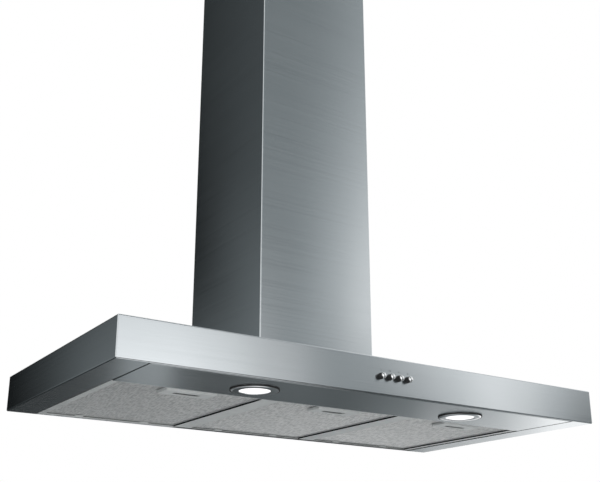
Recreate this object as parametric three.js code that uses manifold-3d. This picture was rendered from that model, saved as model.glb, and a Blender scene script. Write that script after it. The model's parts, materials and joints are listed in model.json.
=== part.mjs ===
// Chimney range hood: a flat box canopy with three grease filters, two lamps and four push buttons,
// a centrifugal blower in a steel box above it, and a telescopic chimney that hides the box and the duct.
//
// Millimetres, +Z up, X to the right seen from the room, +Y into the wall.
// The wall is the plane y = 0 and the canopy's front face lies at y = -canopyDepth.
// Heights in this file are counted from the canopy's underside. The whole hood is then lowered by
// hangHeight, so that the origin lies on the wall, midway between the two keyholes that it hangs from.

import * as THREE from 'three';
import { mergeVertices } from 'three/addons/utils/BufferGeometryUtils.js';
import Module from 'manifold-3d';

const wasm = await Module();
wasm.setup();

// ---------------------------------------------------------------- driving dimensions

// Canopy, folded from stainless sheet
const canopyWidth = 900;
const canopyDepth = 450;
const canopyHeight = 58;
const sheet = 1;
const foldRadius = 2;
const endStrip = 48;
const frontLip = 3;
const flangeHeight = 16;

// Gaps
const seat = 0.3;
const panelSeam = 1.2;
const lipGap = 1.2;

// Underside: lamp panel, recessed ledge and the three filter openings behind it
const lampPanelRear = 131;
const ledgeRecess = 1;
const frontLedge = 6;
const rearLedge = 6;
const sideLedge = 13.5;
const dividerWidth = 31.5;
const filterCount = 3;
const dividerUpstand = 8;

// Grease filters
const filterLift = 2;
const filterThickness = 8;
const filterPlay = 1.5;
const filterSheet = 0.8;
const filterRim = 3.5;
const meshColumns = 6;
const meshRows = 4;
const meshStrand = 4;
const hookSpread = 120;
const hookWidth = 14;
const hookReach = 4;

// Filter handle and its sliding latch
const handleWidth = 86;
const handleLength = 37;
const handleDrop = 4;
const slotWidth = 44;
const slotLength = 10;
const latchWidth = 50;
const latchThickness = 2;
const latchReach = 3.5;
const latchTravel = 4.5;
const latchLipDepth = 1.6;

// Lamps
const lampSpacing = 404;
const lampFromFront = 74;
const bezelRadius = 37;
const glassRadius = 23;
const bezelDrop = 2.8;
const lampHoleRadius = 34;
const lampCanHeight = 25;
const bulbRadius = 4.7;
const bulbLength = 18;

// Push buttons
const buttonCount = 4;
const buttonPitch = 17.4;
const buttonHeight = 28;
const buttonRadius = 4.5;
const buttonReach = 9.5;
const buttonTravel = 3;
const buttonPlay = 0.5;

// Blower box, which hangs inside the chimney from two keyholes
const boxSideGap = 20;
const boxFrontGap = 24;
const boxFlange = 10;
const keyholeDrop = 30;
const keyholeSpacing = 140;
const keyholeHead = 7;
const keyholeSlot = 3.5;
const keyholeRise = 14;

// Fan: its scroll fills the box, and the wheel fills the scroll
const scrollWidth = 128;
const scrollWall = 2.5;
const scrollRim = 3.5;
const scrollGrowth = 34;
const scrollRearGap = 2.5;
const scrollFrontGap = 2;
const scrollFloorGap = 7.45;
const throatRise = 155;
const tongueAngle = 60;
const wheelGap = 6;
const wheelSideGap = 9;
const bladeDepth = 13;
const bladeCount = 30;
const bladeThickness = 1.2;
const inletLap = 3;
const motorRadius = 42;
const motorLength = 48;
const shaftRadius = 4;

// Duct outlet with its two damper flaps
const ductRadius = 60;
const collarWall = 2;
const collarHeight = 45;
const damperHeight = 17;
const pinRadius = 1.5;
const flapThickness = 1.6;

// Chimney
const chimneyWidth = 236;
const chimneyDepth = 249;
const lowerChimneyLength = 900;
const upperChimneyLength = 760;
const chimneyShowing = 30;
const chimneyFlange = 10;
const slideGap = 0.8;

// ---------------------------------------------------------------- sizes that follow

const toRadians = THREE.MathUtils.degToRad;

const halfWidth = canopyWidth / 2;
const frontY = -canopyDepth;
const bayHalf = halfWidth - endStrip;
const ledgeZ = ledgeRecess;
const panelRearY = frontY + lampPanelRear;
const openingFrontY = panelRearY + frontLedge;
const openingRearY = -sheet - rearLedge;
const openingWidth = (2 * bayHalf - 2 * sideLedge - (filterCount - 1) * dividerWidth) / filterCount;
const filterPitch = openingWidth + dividerWidth;
const filterWidth = openingWidth - 2 * filterPlay;
const filterFrontY = openingFrontY + filterPlay;
const filterRearY = openingRearY - filterPlay;
const filterBottomZ = ledgeZ + filterLift;
const filterTopZ = filterBottomZ + filterThickness;
const topZ = canopyHeight;
const ceilingZ = canopyHeight - sheet;
const lampY = frontY + lampFromFront;
const boxHalf = chimneyWidth / 2 - boxSideGap;
const boxDepth = chimneyDepth - boxFrontGap;
const boxFrontY = -boxDepth;
const boxFloorZ = topZ + seat;

// The scroll opens steadily over this turn, from its tongue down, round the front and up to the throat.
const scrollTurn = 180 + tongueAngle;
const scrollShell = scrollWall + scrollRim;
const growthAt = (angle) => scrollGrowth * (tongueAngle - angle) / scrollTurn;
const scrollRoom = boxDepth - 2 * (sheet + scrollShell) - scrollRearGap - scrollFrontGap;
const scrollStart = (scrollRoom - growthAt(0) - scrollGrowth) / 2;
const scrollEnd = scrollStart + scrollGrowth;
const fanY = -sheet - scrollRearGap - scrollShell - scrollStart - growthAt(0);
const fanHeight = boxFloorZ + scrollFloorGap + scrollShell + scrollStart + growthAt(-90);
const tongueY = fanY + scrollStart * Math.cos(toRadians(tongueAngle));
const outletY = (tongueY + fanY - scrollEnd) / 2;
const sideWall = 2;
const wheelRadius = scrollStart - wheelGap;
const wheelWidth = scrollWidth - 2 * (sideWall + wheelSideGap);
const inletRadius = wheelRadius - bladeDepth - inletLap;
const boxTop = fanHeight + throatRise;
const hangHeight = boxTop - keyholeDrop;
const lowerChimneyZ = topZ + seat;
const lowerChimneyTop = lowerChimneyZ + lowerChimneyLength;
const upperChimneyTop = lowerChimneyTop + chimneyShowing;
const upperChimneyZ = upperChimneyTop - upperChimneyLength;

// ---------------------------------------------------------------- solid helpers

// A closed geometry as a solid. Outlines may be drawn either way round.
function toSolid(geometry) {
  const bare = geometry.index ? geometry.toNonIndexed() : geometry.clone();
  bare.deleteAttribute('normal');
  bare.deleteAttribute('uv');
  const merged = mergeVertices(bare, 1e-4);
  const triangles = [];
  for (let i = 0; i < merged.index.count; i += 3) {
    const [a, b, c] = [0, 1, 2].map((k) => merged.index.getX(i + k));
    if (a !== b && b !== c && c !== a) triangles.push(a, b, c);
  }
  const vertProperties = merged.attributes.position.array;
  const build = (order) => new wasm.Manifold(
    new wasm.Mesh({ numProp: 3, vertProperties, triVerts: new Uint32Array(order) }),
  );
  const solid = build(triangles);
  return solid.volume() > 0 ? solid : build(triangles.reverse());
}

function toGeometry(solid) {
  const mesh = solid.getMesh();
  const geometry = new THREE.BufferGeometry();
  geometry.setAttribute('position', new THREE.BufferAttribute(mesh.vertProperties, 3));
  geometry.setIndex(new THREE.BufferAttribute(mesh.triVerts, 1));
  geometry.computeVertexNormals();
  return geometry;
}

const join = (first, ...rest) => rest.reduce((sum, piece) => sum.add(piece), first);
const cut = (first, ...tools) => tools.reduce((left, tool) => left.subtract(tool), first);

// Directions in which a flat outline is swept: [outline's first axis, its second axis, the sweep].
const sweeps = {
  x: [new THREE.Vector3(0, 1, 0), new THREE.Vector3(0, 0, 1), new THREE.Vector3(1, 0, 0)],
  y: [new THREE.Vector3(1, 0, 0), new THREE.Vector3(0, 0, 1), new THREE.Vector3(0, -1, 0)],
  z: [new THREE.Vector3(1, 0, 0), new THREE.Vector3(0, 1, 0), new THREE.Vector3(0, 0, 1)],
};

// Sweeps an outline along an axis: (y, z) outlines along x, (x, z) ones along y, (x, y) ones along z.
function prism(axis, outline, [from, to], curveSegments = 4) {
  const geometry = new THREE.ExtrudeGeometry(outline, {
    depth: to - from,
    bevelEnabled: false,
    curveSegments,
  });
  geometry.applyMatrix4(new THREE.Matrix4().makeBasis(...sweeps[axis]));
  const start = axis === 'y' ? to : from;
  geometry.translate(axis === 'x' ? start : 0, axis === 'y' ? start : 0, axis === 'z' ? start : 0);
  return toSolid(geometry);
}

function block([x0, x1], [y0, y1], [z0, z1]) {
  const geometry = new THREE.BoxGeometry(x1 - x0, y1 - y0, z1 - z0);
  geometry.translate((x0 + x1) / 2, (y0 + y1) / 2, (z0 + z1) / 2);
  return toSolid(geometry);
}

// A rectangle with its own radius at each corner: [low low, high low, high high, low high].
function rectangle([u0, u1], [v0, v1], radii = 0) {
  const [a, b, c, d] = Array.isArray(radii) ? radii : [radii, radii, radii, radii];
  const outline = new THREE.Shape();
  outline.moveTo(u0 + a, v0);
  outline.lineTo(u1 - b, v0);
  if (b) outline.absarc(u1 - b, v0 + b, b, -Math.PI / 2, 0);
  outline.lineTo(u1, v1 - c);
  if (c) outline.absarc(u1 - c, v1 - c, c, 0, Math.PI / 2);
  outline.lineTo(u0 + d, v1);
  if (d) outline.absarc(u0 + d, v1 - d, d, Math.PI / 2, Math.PI);
  outline.lineTo(u0, v0 + a);
  if (a) outline.absarc(u0 + a, v0 + a, a, Math.PI, Math.PI * 1.5);
  return outline;
}

function polygon(points) {
  return new THREE.Shape(points.map(([u, v]) => new THREE.Vector2(u, v)));
}

function circle(u, v, radius) {
  return new THREE.Shape().absarc(u, v, radius, 0, Math.PI * 2);
}

// A round bar or drill along an axis. The centre is given in the outline's plane.
function round(axis, [u, v], radius, span, sides = 24) {
  return prism(axis, circle(u, v, radius), span, sides / 2);
}

// Turns a closed profile of [radius, height] points about an axis through (u, v).
function revolve(axis, [u, v], profile, sides = 32) {
  const points = profile.map(([r, h]) => new THREE.Vector2(Math.max(r, 0), h));
  if (profile[0][0] > 0) points.push(points[0].clone());
  const geometry = new THREE.LatheGeometry(points, sides);
  if (axis === 'z') geometry.rotateX(Math.PI / 2).translate(u, v, 0);
  if (axis === 'y') geometry.translate(u, 0, v);
  if (axis === 'x') geometry.rotateZ(-Math.PI / 2).translate(0, u, v);
  return toSolid(geometry);
}

// An insulated lead: a round tube along a smooth curve through the points.
function lead(points, radius, steps) {
  const path = new THREE.CatmullRomCurve3(points.map((p) => new THREE.Vector3(...p)));
  const section = circle(0, 0, radius);
  return toSolid(new THREE.ExtrudeGeometry(section, { steps, extrudePath: path, curveSegments: 3 }));
}

// ---------------------------------------------------------------- finishes and the assembly

const finish = (color, roughness, metalness) => ({ color, roughness, metalness });
const finishes = {
  stainless: finish(0xb4babb, 0.32, 1),
  galvanised: finish(0x9aa0a3, 0.5, 0.9),
  aluminium: finish(0xa9adad, 0.45, 0.9),
  chrome: finish(0xd8dadb, 0.08, 1),
  steel: finish(0x8b8f92, 0.35, 1),
  glass: finish(0xf4f6f4, 0.25, 0),
  lens: finish(0xffffff, 0.1, 0),
  greyPlastic: finish(0x6f7376, 0.55, 0),
  darkPlastic: finish(0x2a2d2f, 0.5, 0),
  whitePlastic: finish(0xd9d9d4, 0.5, 0),
  rubber: finish(0x1b1b1c, 0.8, 0),
};

const hood = new THREE.Group();
hood.position.z = -hangHeight;

function add(name, solid, finishName, parent = hood) {
  const material = new THREE.MeshStandardMaterial(finishes[finishName]);
  const mesh = new THREE.Mesh(toGeometry(solid), material);
  mesh.name = name;
  parent.add(mesh);
  return mesh;
}

function group(x, y, z, parent = hood) {
  const holder = new THREE.Group();
  holder.position.set(x, y, z);
  parent.add(holder);
  return holder;
}

// ---------------------------------------------------------------- canopy

const foldSteps = 3;

// A box whose folds are round on the outside: every edge but those at the wall.
function foldedBox(inset) {
  const radius = foldRadius - inset;
  const x = [-halfWidth + inset, halfWidth - inset];
  const y = [frontY + inset, inset ? sheet : 0];
  const z = [inset, canopyHeight - inset];
  const side = prism('x', rectangle(y, z, [radius, 0, 0, radius]), x, foldSteps);
  const front = prism('y', rectangle(x, z, radius), y, foldSteps);
  const plan = prism('z', rectangle(x, y, [radius, radius, 0, 0]), z, foldSteps);
  return side.intersect(front).intersect(plan);
}

const buttonXs = Array.from({ length: buttonCount }, (_, i) => (i - (buttonCount - 1) / 2) * buttonPitch);
const lampXs = [-lampSpacing / 2, lampSpacing / 2];
const filterXs = Array.from({ length: filterCount }, (_, i) => (i - (filterCount - 1) / 2) * filterPitch);

const airOpening = {
  x: [-boxHalf + 4, boxHalf - 4],
  y: [boxFrontY + 4, -4],
  radius: 12,
};

const grommet = { x: 70, y: (boxFrontY - chimneyDepth) / 2, radius: 6 };
const baseScrewXs = [-1, 1].map((side) => side * (chimneyWidth / 2 - sheet - 4));
const baseScrewY = -chimneyDepth / 2;
const screwRadius = 1.9;
const screwHole = screwRadius + seat;
const wallScrewHole = 2.5;

function canopyShell() {
  const shell = cut(
    foldedBox(0),
    foldedBox(sheet),
    prism('z', rectangle(airOpening.x, airOpening.y, airOpening.radius), [ceilingZ - sheet, topZ + sheet]),
    round('z', [grommet.x, grommet.y], grommet.radius, [ceilingZ - sheet, topZ + sheet], 16),
    ...baseScrewXs.map((x) => round('z', [x, baseScrewY], screwHole, [ceilingZ - sheet, topZ + sheet], 10)),
    ...buttonXs.map((x) => (
      round('y', [x, buttonHeight], buttonRadius + buttonPlay, [frontY - sheet, frontY + 2 * sheet], 12)
    )),
  );
  const upstands = [-1, 1].map((side) => block(
    [side * bayHalf - sheet, side * bayHalf + sheet],
    [frontY + sheet / 2, -sheet - seat],
    [sheet / 2, flangeHeight],
  ));
  const lipUpstand = block(
    [-bayHalf - sheet / 2, bayHalf + sheet / 2],
    [frontY + frontLip - sheet, frontY + frontLip + sheet],
    [sheet / 2, flangeHeight / 2],
  );
  const bay = block([-bayHalf, bayHalf], [frontY + frontLip, sheet], [-sheet, flangeHeight + sheet]);
  return cut(join(shell, ...upstands, lipUpstand), bay);
}

// The wall side of the canopy: a plate with a flange under the top panel and one at each end.
function backPanel() {
  const half = halfWidth - sheet - seat;
  const top = ceilingZ - seat;
  const flange = 12;
  const wallHoleX = halfWidth - 70;
  const plate = block([-half, half], [-sheet, 0], [0, top]);
  const topFlange = block([-half, half], [-flange, 0], [top - sheet, top]);
  const endFlanges = [-1, 1].map((side) => block(
    [side * half, side * (half - sheet)].sort((a, b) => a - b),
    [-flange, 0],
    [sheet + seat, top],
  ));
  const overStrips = [-1, 1].map((side) => block(
    [side * (bayHalf - seat), side * halfWidth].sort((a, b) => a - b),
    [-flange - 1, 1],
    [-1, sheet + seat],
  ));
  const wallHoles = [-wallHoleX, wallHoleX].map((x) => round('y', [x, canopyHeight / 2], wallScrewHole, [-2, 1], 10));
  return cut(join(plate, topFlange, ...endFlanges), ...overStrips, ...wallHoles);
}

// The front strip of the underside, a tray with the two lamp holes.
function lampPanel() {
  const x = [-bayHalf + panelSeam, bayHalf - panelSeam];
  const y = [frontY + frontLip + lipGap, panelRearY];
  const tray = prism('z', rectangle(x, y), [0, flangeHeight * 0.75]);
  const inside = block([x[0] + sheet, x[1] - sheet], [y[0] + sheet, y[1] - sheet], [sheet, flangeHeight]);
  const holes = lampXs.map((lx) => round('z', [lx, lampY], lampHoleRadius, [-1, sheet + 1], 28));
  return cut(tray, inside, ...holes);
}

// The recessed frame that carries the filters: ledges all round, two dividers, edges turned up.
function filterSupportFrame() {
  const x = [-bayHalf + seat, bayHalf - seat];
  const y = [panelRearY + seat, -sheet - seat];
  const rimTop = ledgeZ + 10;
  const tray = block(x, y, [ledgeZ, rimTop]);
  const inside = block(
    [x[0] + sheet, x[1] - sheet],
    [y[0] + sheet, y[1] - sheet],
    [ledgeZ + sheet, rimTop + 1],
  );
  const upstands = filterXs.flatMap((fx) => [-1, 1].map((side) => {
    const edge = fx + (side * openingWidth) / 2;
    const length = [openingFrontY + sheet, openingRearY - sheet];
    return block([edge - sheet, edge + sheet], length, [ledgeZ + sheet / 2, ledgeZ + dividerUpstand]);
  }));
  const openings = filterXs.map((fx) => block(
    [fx - openingWidth / 2, fx + openingWidth / 2],
    [openingFrontY, openingRearY],
    [ledgeZ - 1, rimTop + 1],
  ));
  return cut(join(cut(tray, inside), ...upstands), ...openings);
}

add('canopy_shell', canopyShell(), 'stainless');
add('back_panel', backPanel(), 'galvanised');
add('lamp_panel', lampPanel(), 'stainless');
add('filter_support_frame', filterSupportFrame(), 'stainless');

// ---------------------------------------------------------------- lamps

// The chrome ring below the panel, with a spigot in the panel's hole.
function lampBezel() {
  const bore = glassRadius + seat;
  const spigot = lampHoleRadius - 1;
  return revolve('z', [0, 0], [
    [bore, -bezelDrop + 0.3],
    [bore + 1.2, -bezelDrop],
    [bore + 2.6, -bezelDrop + 0.2],
    [bezelRadius - 1.4, -1.2],
    [bezelRadius, -seat],
    [spigot, -seat],
    [spigot, sheet],
    [spigot - 1.5, sheet],
    [spigot - 1.5, 0.2],
    [bore, 0.2],
  ], 24);
}

// Frosted lens: a nose through the ring and a flange that rests inside it.
function lampGlass() {
  const flange = lampHoleRadius - 1 - 1.5 - seat;
  return revolve('z', [0, 0], [
    [0, -bezelDrop - 0.1],
    [glassRadius * 0.7, -bezelDrop + 0.05],
    [glassRadius, -bezelDrop + 0.6],
    [glassRadius, 0.2 + seat],
    [flange, 0.2 + seat],
    [flange, 2],
    [0, 2],
  ], 24);
}

// A pressed can with a flange on top of the panel and a ceramic socket inside its crown.
function lampCan() {
  const inner = lampHoleRadius - 2;
  const base = sheet + seat;
  const top = base + lampCanHeight;
  const can = revolve('z', [0, 0], [
    [inner, base],
    [lampHoleRadius + 5, base],
    [lampHoleRadius + 5, base + 1],
    [inner + 1, base + 1],
    [inner + 1, top - 5],
    [inner - 6, top],
    [0, top],
    [0, top - 7],
    [6.5, top - 7],
    [6.5, top - 1],
    [inner - 6.4, top - 1],
    [inner, top - 5.4],
  ], 20);
  const pins = round('z', [0, 0], 3.2, [top - 8, top - 4], 8);
  return cut(can, pins);
}

// Halogen capsule, its pinched base in the socket.
function lampBulb() {
  const base = sheet + seat + lampCanHeight - 4 - seat;
  const tip = base - bulbLength;
  return revolve('z', [0, 0], [
    [0, tip],
    [bulbRadius * 0.7, tip + 1.2],
    [bulbRadius, tip + 4],
    [bulbRadius, base - 4.5],
    [2.9, base - 3.6],
    [2.9, base],
    [0, base],
  ], 10);
}

['left', 'right'].forEach((side, i) => {
  const lamp = group(lampXs[i], lampY, 0);
  add(`lamp_bezel_${side}`, lampBezel(), 'chrome', lamp);
  add(`lamp_glass_${side}`, lampGlass(), 'glass', lamp);
  add(`lamp_can_${side}`, lampCan(), 'aluminium', lamp);
  add(`lamp_bulb_${side}`, lampBulb(), 'lens', lamp);
});

// ---------------------------------------------------------------- push buttons and switch bank

const bankFrontY = frontY + 10;
const bankDepth = 24;
const stemRadius = 2.2;
const stemLength = 16.7;

// Turned cap with a shoulder behind the fascia and a stem into the switch bank.
function pushButton() {
  const tip = frontY - buttonReach;
  const shoulder = frontY + sheet + seat;
  return revolve('y', [0, 0], [
    [0, tip],
    [buttonRadius - 1, tip],
    [buttonRadius - 0.3, tip + 0.3],
    [buttonRadius, tip + 1],
    [buttonRadius, shoulder],
    [buttonRadius + 1.5, shoulder],
    [buttonRadius + 1.5, shoulder + 2],
    [stemRadius, shoulder + 2],
    [stemRadius, shoulder + 2 + stemLength],
    [0, shoulder + 2 + stemLength],
  ], 12);
}

// The row of switches, with a foot at each end against the back of the fascia.
function switchBank() {
  const half = (buttonXs[buttonCount - 1] - buttonXs[0]) / 2 + 14;
  const foot = 6;
  const z = [buttonHeight - 9, buttonHeight + 9];
  const body = prism('z', rectangle([-half, half], [bankFrontY, bankFrontY + bankDepth], 2), z, 2);
  const feet = [-1, 1].map((side) => block(
    [side * half, side * (half - foot)].sort((a, b) => a - b),
    [frontY + sheet + seat, bankFrontY + 2],
    z,
  ));
  const stemEnd = frontY + sheet + seat + 2 + stemLength + buttonTravel + seat;
  const bores = buttonXs.map((x) => (
    round('y', [x, buttonHeight], stemRadius + 0.4, [bankFrontY - 1, stemEnd], 8)
  ));
  return cut(join(body, ...feet), ...bores);
}

buttonXs.forEach((x, i) => {
  add(`button_${i + 1}`, pushButton(), 'chrome', group(x, 0, buttonHeight));
});
add('switch_bank', switchBank(), 'darkPlastic');

// ---------------------------------------------------------------- electrics above the lamp panel

const terminalBoxPlace = { x: [52, 152], y: [frontY + 26, frontY + 104], z: [22, ceilingZ - seat] };
const boxWall = 2;
const cableHole = 3.4;

// A tray hung under the top panel, open downwards, with round cable entries.
function terminalBox() {
  const { x, y, z } = terminalBoxPlace;
  const tray = prism('z', rectangle(x, y, 4), z, 2);
  const inside = prism(
    'z',
    rectangle([x[0] + boxWall, x[1] - boxWall], [y[0] + boxWall, y[1] - boxWall], 2),
    [z[0] - 1, z[1] - boxWall],
    2,
  );
  const leftEntry = round('x', [y[0] + 30, z[1] - 14], cableHole, [x[0] - 1, x[0] + boxWall + 1], 12);
  const rearEntries = [20, 70].map((dx) => (
    round('y', [x[0] + dx, z[1] - 12], cableHole, [y[1] - boxWall - 1, y[1] + 1], 12)
  ));
  return cut(tray, inside, leftEntry, ...rearEntries);
}

function terminalBoxLid() {
  const { x, y, z } = terminalBoxPlace;
  const plate = prism('z', rectangle(x, y, 4), [z[0] - seat - boxWall, z[0] - seat], 2);
  const inset = boxWall + seat;
  const rim = prism(
    'z',
    rectangle([x[0] + inset, x[1] - inset], [y[0] + inset, y[1] - inset], 2),
    [z[0] - seat - 1, z[0] + 2],
    2,
  );
  const hollow = block(
    [x[0] + inset + 1.5, x[1] - inset - 1.5],
    [y[0] + inset + 1.5, y[1] - inset - 1.5],
    [z[0] - seat, z[0] + 3],
  );
  return cut(join(plate, rim), hollow);
}

// Five screw terminals in a row on the box's ceiling.
function terminalBlock() {
  const { x, y, z } = terminalBoxPlace;
  const top = z[1] - boxWall - seat;
  const pitch = 10;
  const count = 5;
  const start = x[0] + 12;
  const body = block([start, start + count * pitch], [y[1] - 26, y[1] - 10], [top - 14, top]);
  const wells = Array.from({ length: count }, (_, i) => (
    round('z', [start + (i + 0.5) * pitch, y[1] - 18], 2.6, [top - 15, top - 8], 10)
  ));
  const grooves = Array.from({ length: count - 1 }, (_, i) => block(
    [start + (i + 1) * pitch - 0.8, start + (i + 1) * pitch + 0.8],
    [y[1] - 27, y[1] - 9],
    [top - 15, top - 11],
  ));
  return cut(body, ...wells, ...grooves);
}

// Motor run capacitor, lying in the box beside the terminals.
function capacitor() {
  const { x, y, z } = terminalBoxPlace;
  const radius = 13;
  const centre = [y[0] + boxWall + seat + radius, z[1] - boxWall - seat - radius];
  const from = x[0] + 20;
  const to = from + 58;
  return revolve('x', centre, [
    [0, from],
    [radius - 1, from],
    [radius, from + 1],
    [radius, to - 1],
    [radius - 1, to],
    [5, to],
    [5, to + 5],
    [0, to + 5],
  ], 16);
}

const transformerPlace = { x: [-150, -64], y: [frontY + 28, frontY + 74], z: [ceilingZ - seat - 26, ceilingZ - seat] };

// Lamp transformer: a moulded case with a slotted ear at each end.
function lampTransformer() {
  const { x, y, z } = transformerPlace;
  const ear = 10;
  const body = prism('x', rectangle(y, z, [3, 3, 0, 0]), [x[0] + ear, x[1] - ear], 3);
  const ears = prism('z', rectangle(x, [y[0] + 10, y[1] - 10], 4), [z[1] - 3, z[1]], 2);
  const slots = [x[0] + ear / 2, x[1] - ear / 2].map((sx) => (
    round('z', [sx, (y[0] + y[1]) / 2], 2.2, [z[1] - 4, z[1] + 1], 10)
  ));
  return cut(join(body, ears), ...slots);
}

add('terminal_box', terminalBox(), 'whitePlastic');
add('terminal_box_lid', terminalBoxLid(), 'whitePlastic');
add('terminal_block', terminalBlock(), 'darkPlastic');
add('motor_capacitor', capacitor(), 'whitePlastic');
add('lamp_transformer', lampTransformer(), 'whitePlastic');

// The rubber bush where the supply cable passes through the top panel, behind the chimney's front.
function mainsCableGrommet() {
  const bore = grommet.radius - 1.6;
  return revolve('z', [grommet.x, grommet.y], [
    [bore, ceilingZ - 3],
    [grommet.radius + 2, ceilingZ - 3],
    [grommet.radius + 2.2, ceilingZ - seat],
    [grommet.radius - seat, ceilingZ - seat],
    [grommet.radius - seat, topZ + seat],
    [grommet.radius + 2.2, topZ + seat],
    [grommet.radius + 1.4, topZ + 3],
    [bore, topZ + 3.4],
  ], 14);
}

add('mains_cable_grommet', mainsCableGrommet(), 'rubber');

// ---------------------------------------------------------------- leads inside the canopy

const leadRadius = 2.4;
const transformerMid = (transformerPlace.y[0] + transformerPlace.y[1]) / 2;
const canTop = sheet + seat + lampCanHeight;

function lampLeadLeft() {
  return lead([
    [lampXs[0], lampY, canTop + seat],
    [lampXs[0] + 1, lampY, canTop + 9],
    [lampXs[0] + 26, lampY - 12, canTop + 14],
    [transformerPlace.x[0] - 2, transformerMid, transformerPlace.z[0] + 12],
    [transformerPlace.x[0] + 10 - seat, transformerMid, transformerPlace.z[0] + 12],
  ], leadRadius, 14);
}

function lampLeadRight() {
  return lead([
    [transformerPlace.x[1] - 10 + seat, transformerMid - 8, transformerPlace.z[0] + 12],
    [transformerPlace.x[1] + 2, transformerMid - 8, transformerPlace.z[0] + 12],
    [transformerPlace.x[1] + 30, transformerMid - 18, transformerPlace.z[0] + 15],
    [0, frontY + 16, ceilingZ - 9],
    [terminalBoxPlace.x[1] - 40, frontY + 16, ceilingZ - 9],
    [terminalBoxPlace.x[1] + 6, frontY + 18, ceilingZ - 9],
    [lampXs[1] - 18, lampY - 30, ceilingZ - 14],
    [lampXs[1], lampY, canTop + 9],
    [lampXs[1], lampY, canTop + seat],
  ], leadRadius, 20);
}

function switchLoom() {
  const { x, y, z } = terminalBoxPlace;
  const entry = [x[0], y[0] + 30, z[1] - 14];
  return lead([
    [0, bankFrontY + bankDepth + seat, buttonHeight],
    [1, bankFrontY + bankDepth + 10, buttonHeight],
    [20, entry[1] + 4, entry[2] - 6],
    [entry[0] - 12, entry[1], entry[2]],
    [entry[0] + 6, entry[1], entry[2]],
  ], leadRadius, 14);
}

const motorLeadX = 84;

function motorLead() {
  const { x, y, z } = terminalBoxPlace;
  const start = [x[0] + 20, y[1], z[1] - 12];
  return lead([
    [start[0], start[1] - 6, start[2]],
    [start[0], start[1] + 12, start[2]],
    [motorLeadX, boxFrontY - 40, ceilingZ - 8],
    [motorLeadX, boxFrontY + 6, ceilingZ - 6],
    [motorLeadX, boxFrontY + 22, topZ + 14],
    [motorLeadX, boxFrontY + 30, fanHeight - 60],
    [motorLeadX, fanY - 36, fanHeight - 30],
    [motorLeadX - 2, fanY - 10, fanHeight - 6],
    [motorLeadX - 10, fanY, fanHeight],
    [scrollWidth / 2 + 2 + seat + 3 + seat, fanY, fanHeight],
  ], leadRadius, 26);
}

add('lamp_lead_left', lampLeadLeft(), 'rubber');
add('lamp_lead_right', lampLeadRight(), 'rubber');
add('switch_loom', switchLoom(), 'rubber');
add('motor_lead', motorLead(), 'rubber');

// ---------------------------------------------------------------- grease filters

const meshHalfX = filterWidth / 2 - filterSheet - seat;
const meshY = [filterFrontY + filterSheet + seat, filterRearY - filterSheet - seat];
const meshZ = [filterBottomZ + filterSheet + seat, filterTopZ - filterSheet - seat];
const handleY = [filterFrontY + seat, filterFrontY + handleLength];
const handleZ = [filterBottomZ - handleDrop, filterBottomZ - seat];
const slotY = [handleY[0] + 16, handleY[0] + 16 + slotLength];
const latchZ = [ledgeZ + sheet + seat, ledgeZ + sheet + seat + latchThickness];
const latchTipY = openingFrontY - latchReach;
const latchRearY = slotY[1] + latchThickness;

// A U channel all round, with two hooks at the back and a gate for the latch at the front.
function filterFrame() {
  const half = filterWidth / 2;
  const y = [filterFrontY, filterRearY];
  const wall = filterSheet;
  const outer = prism('z', rectangle([-half, half], y, 3), [filterBottomZ, filterTopZ], 2);
  const channel = block(
    [-half + wall, half - wall],
    [y[0] + wall, y[1] - wall],
    [filterBottomZ + wall, filterTopZ - wall],
  );
  const window = block(
    [-half + filterRim, half - filterRim],
    [y[0] + filterRim, y[1] - filterRim],
    [filterBottomZ - 1, filterTopZ + 1],
  );
  const gate = block(
    [-latchWidth / 2 - seat, latchWidth / 2 + seat],
    [y[0] - 1, y[0] + filterRim + 1],
    [filterBottomZ - 1, latchZ[1] + seat],
  );
  const hookTop = filterBottomZ + seat;
  const hooks = [-hookSpread / 2, hookSpread / 2].map((x) => block(
    [x - hookWidth / 2, x + hookWidth / 2],
    [y[1] - filterRim, openingRearY + hookReach],
    [ledgeZ + sheet + seat, hookTop],
  ));
  return join(cut(outer, channel, window, gate), ...hooks);
}

// Expanded aluminium: a staggered field of diamond gaps, with a notch for the latch.
function filterMesh() {
  const margin = filterRim + 3;
  const width = filterWidth - 2 * margin;
  const length = filterRearY - filterFrontY - 2 * margin;
  const pitchX = width / meshColumns;
  const pitchY = length / meshRows;
  const reachX = pitchX / 2 - meshStrand / 2;
  const reachY = pitchY / 2 - (meshStrand / 2) * (pitchY / pitchX);
  const middleY = (filterFrontY + filterRearY) / 2;
  const gaps = [];
  const handleClear = slotY[1] + 8;
  const addGap = (x, y) => {
    const overHandle = y - reachY < handleClear && Math.abs(x) - reachX < latchWidth / 2 + 4;
    if (overHandle) return;
    const diamond = polygon([[x + reachX, y], [x, y + reachY], [x - reachX, y], [x, y - reachY]]);
    gaps.push(prism('z', diamond, [meshZ[0] - 1, meshZ[1] + 1]));
  };
  for (let row = 0; row < meshRows; row += 1) {
    for (let column = 0; column < meshColumns; column += 1) {
      const x = (column + 0.5) * pitchX - width / 2;
      const y = middleY + (row + 0.5) * pitchY - length / 2;
      addGap(x, y);
      if (column < meshColumns - 1 && row < meshRows - 1) addGap(x + pitchX / 2, y + pitchY / 2);
    }
  }
  const latchNotch = block(
    [-latchWidth / 2 - 1, latchWidth / 2 + 1],
    [meshY[0] - 1, latchRearY + latchTravel + 1],
    [meshZ[0] - 1, meshZ[1] + 1],
  );
  const plate = block([-meshHalfX, meshHalfX], meshY, meshZ);
  return cut(plate, latchNotch, join(...gaps));
}

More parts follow.
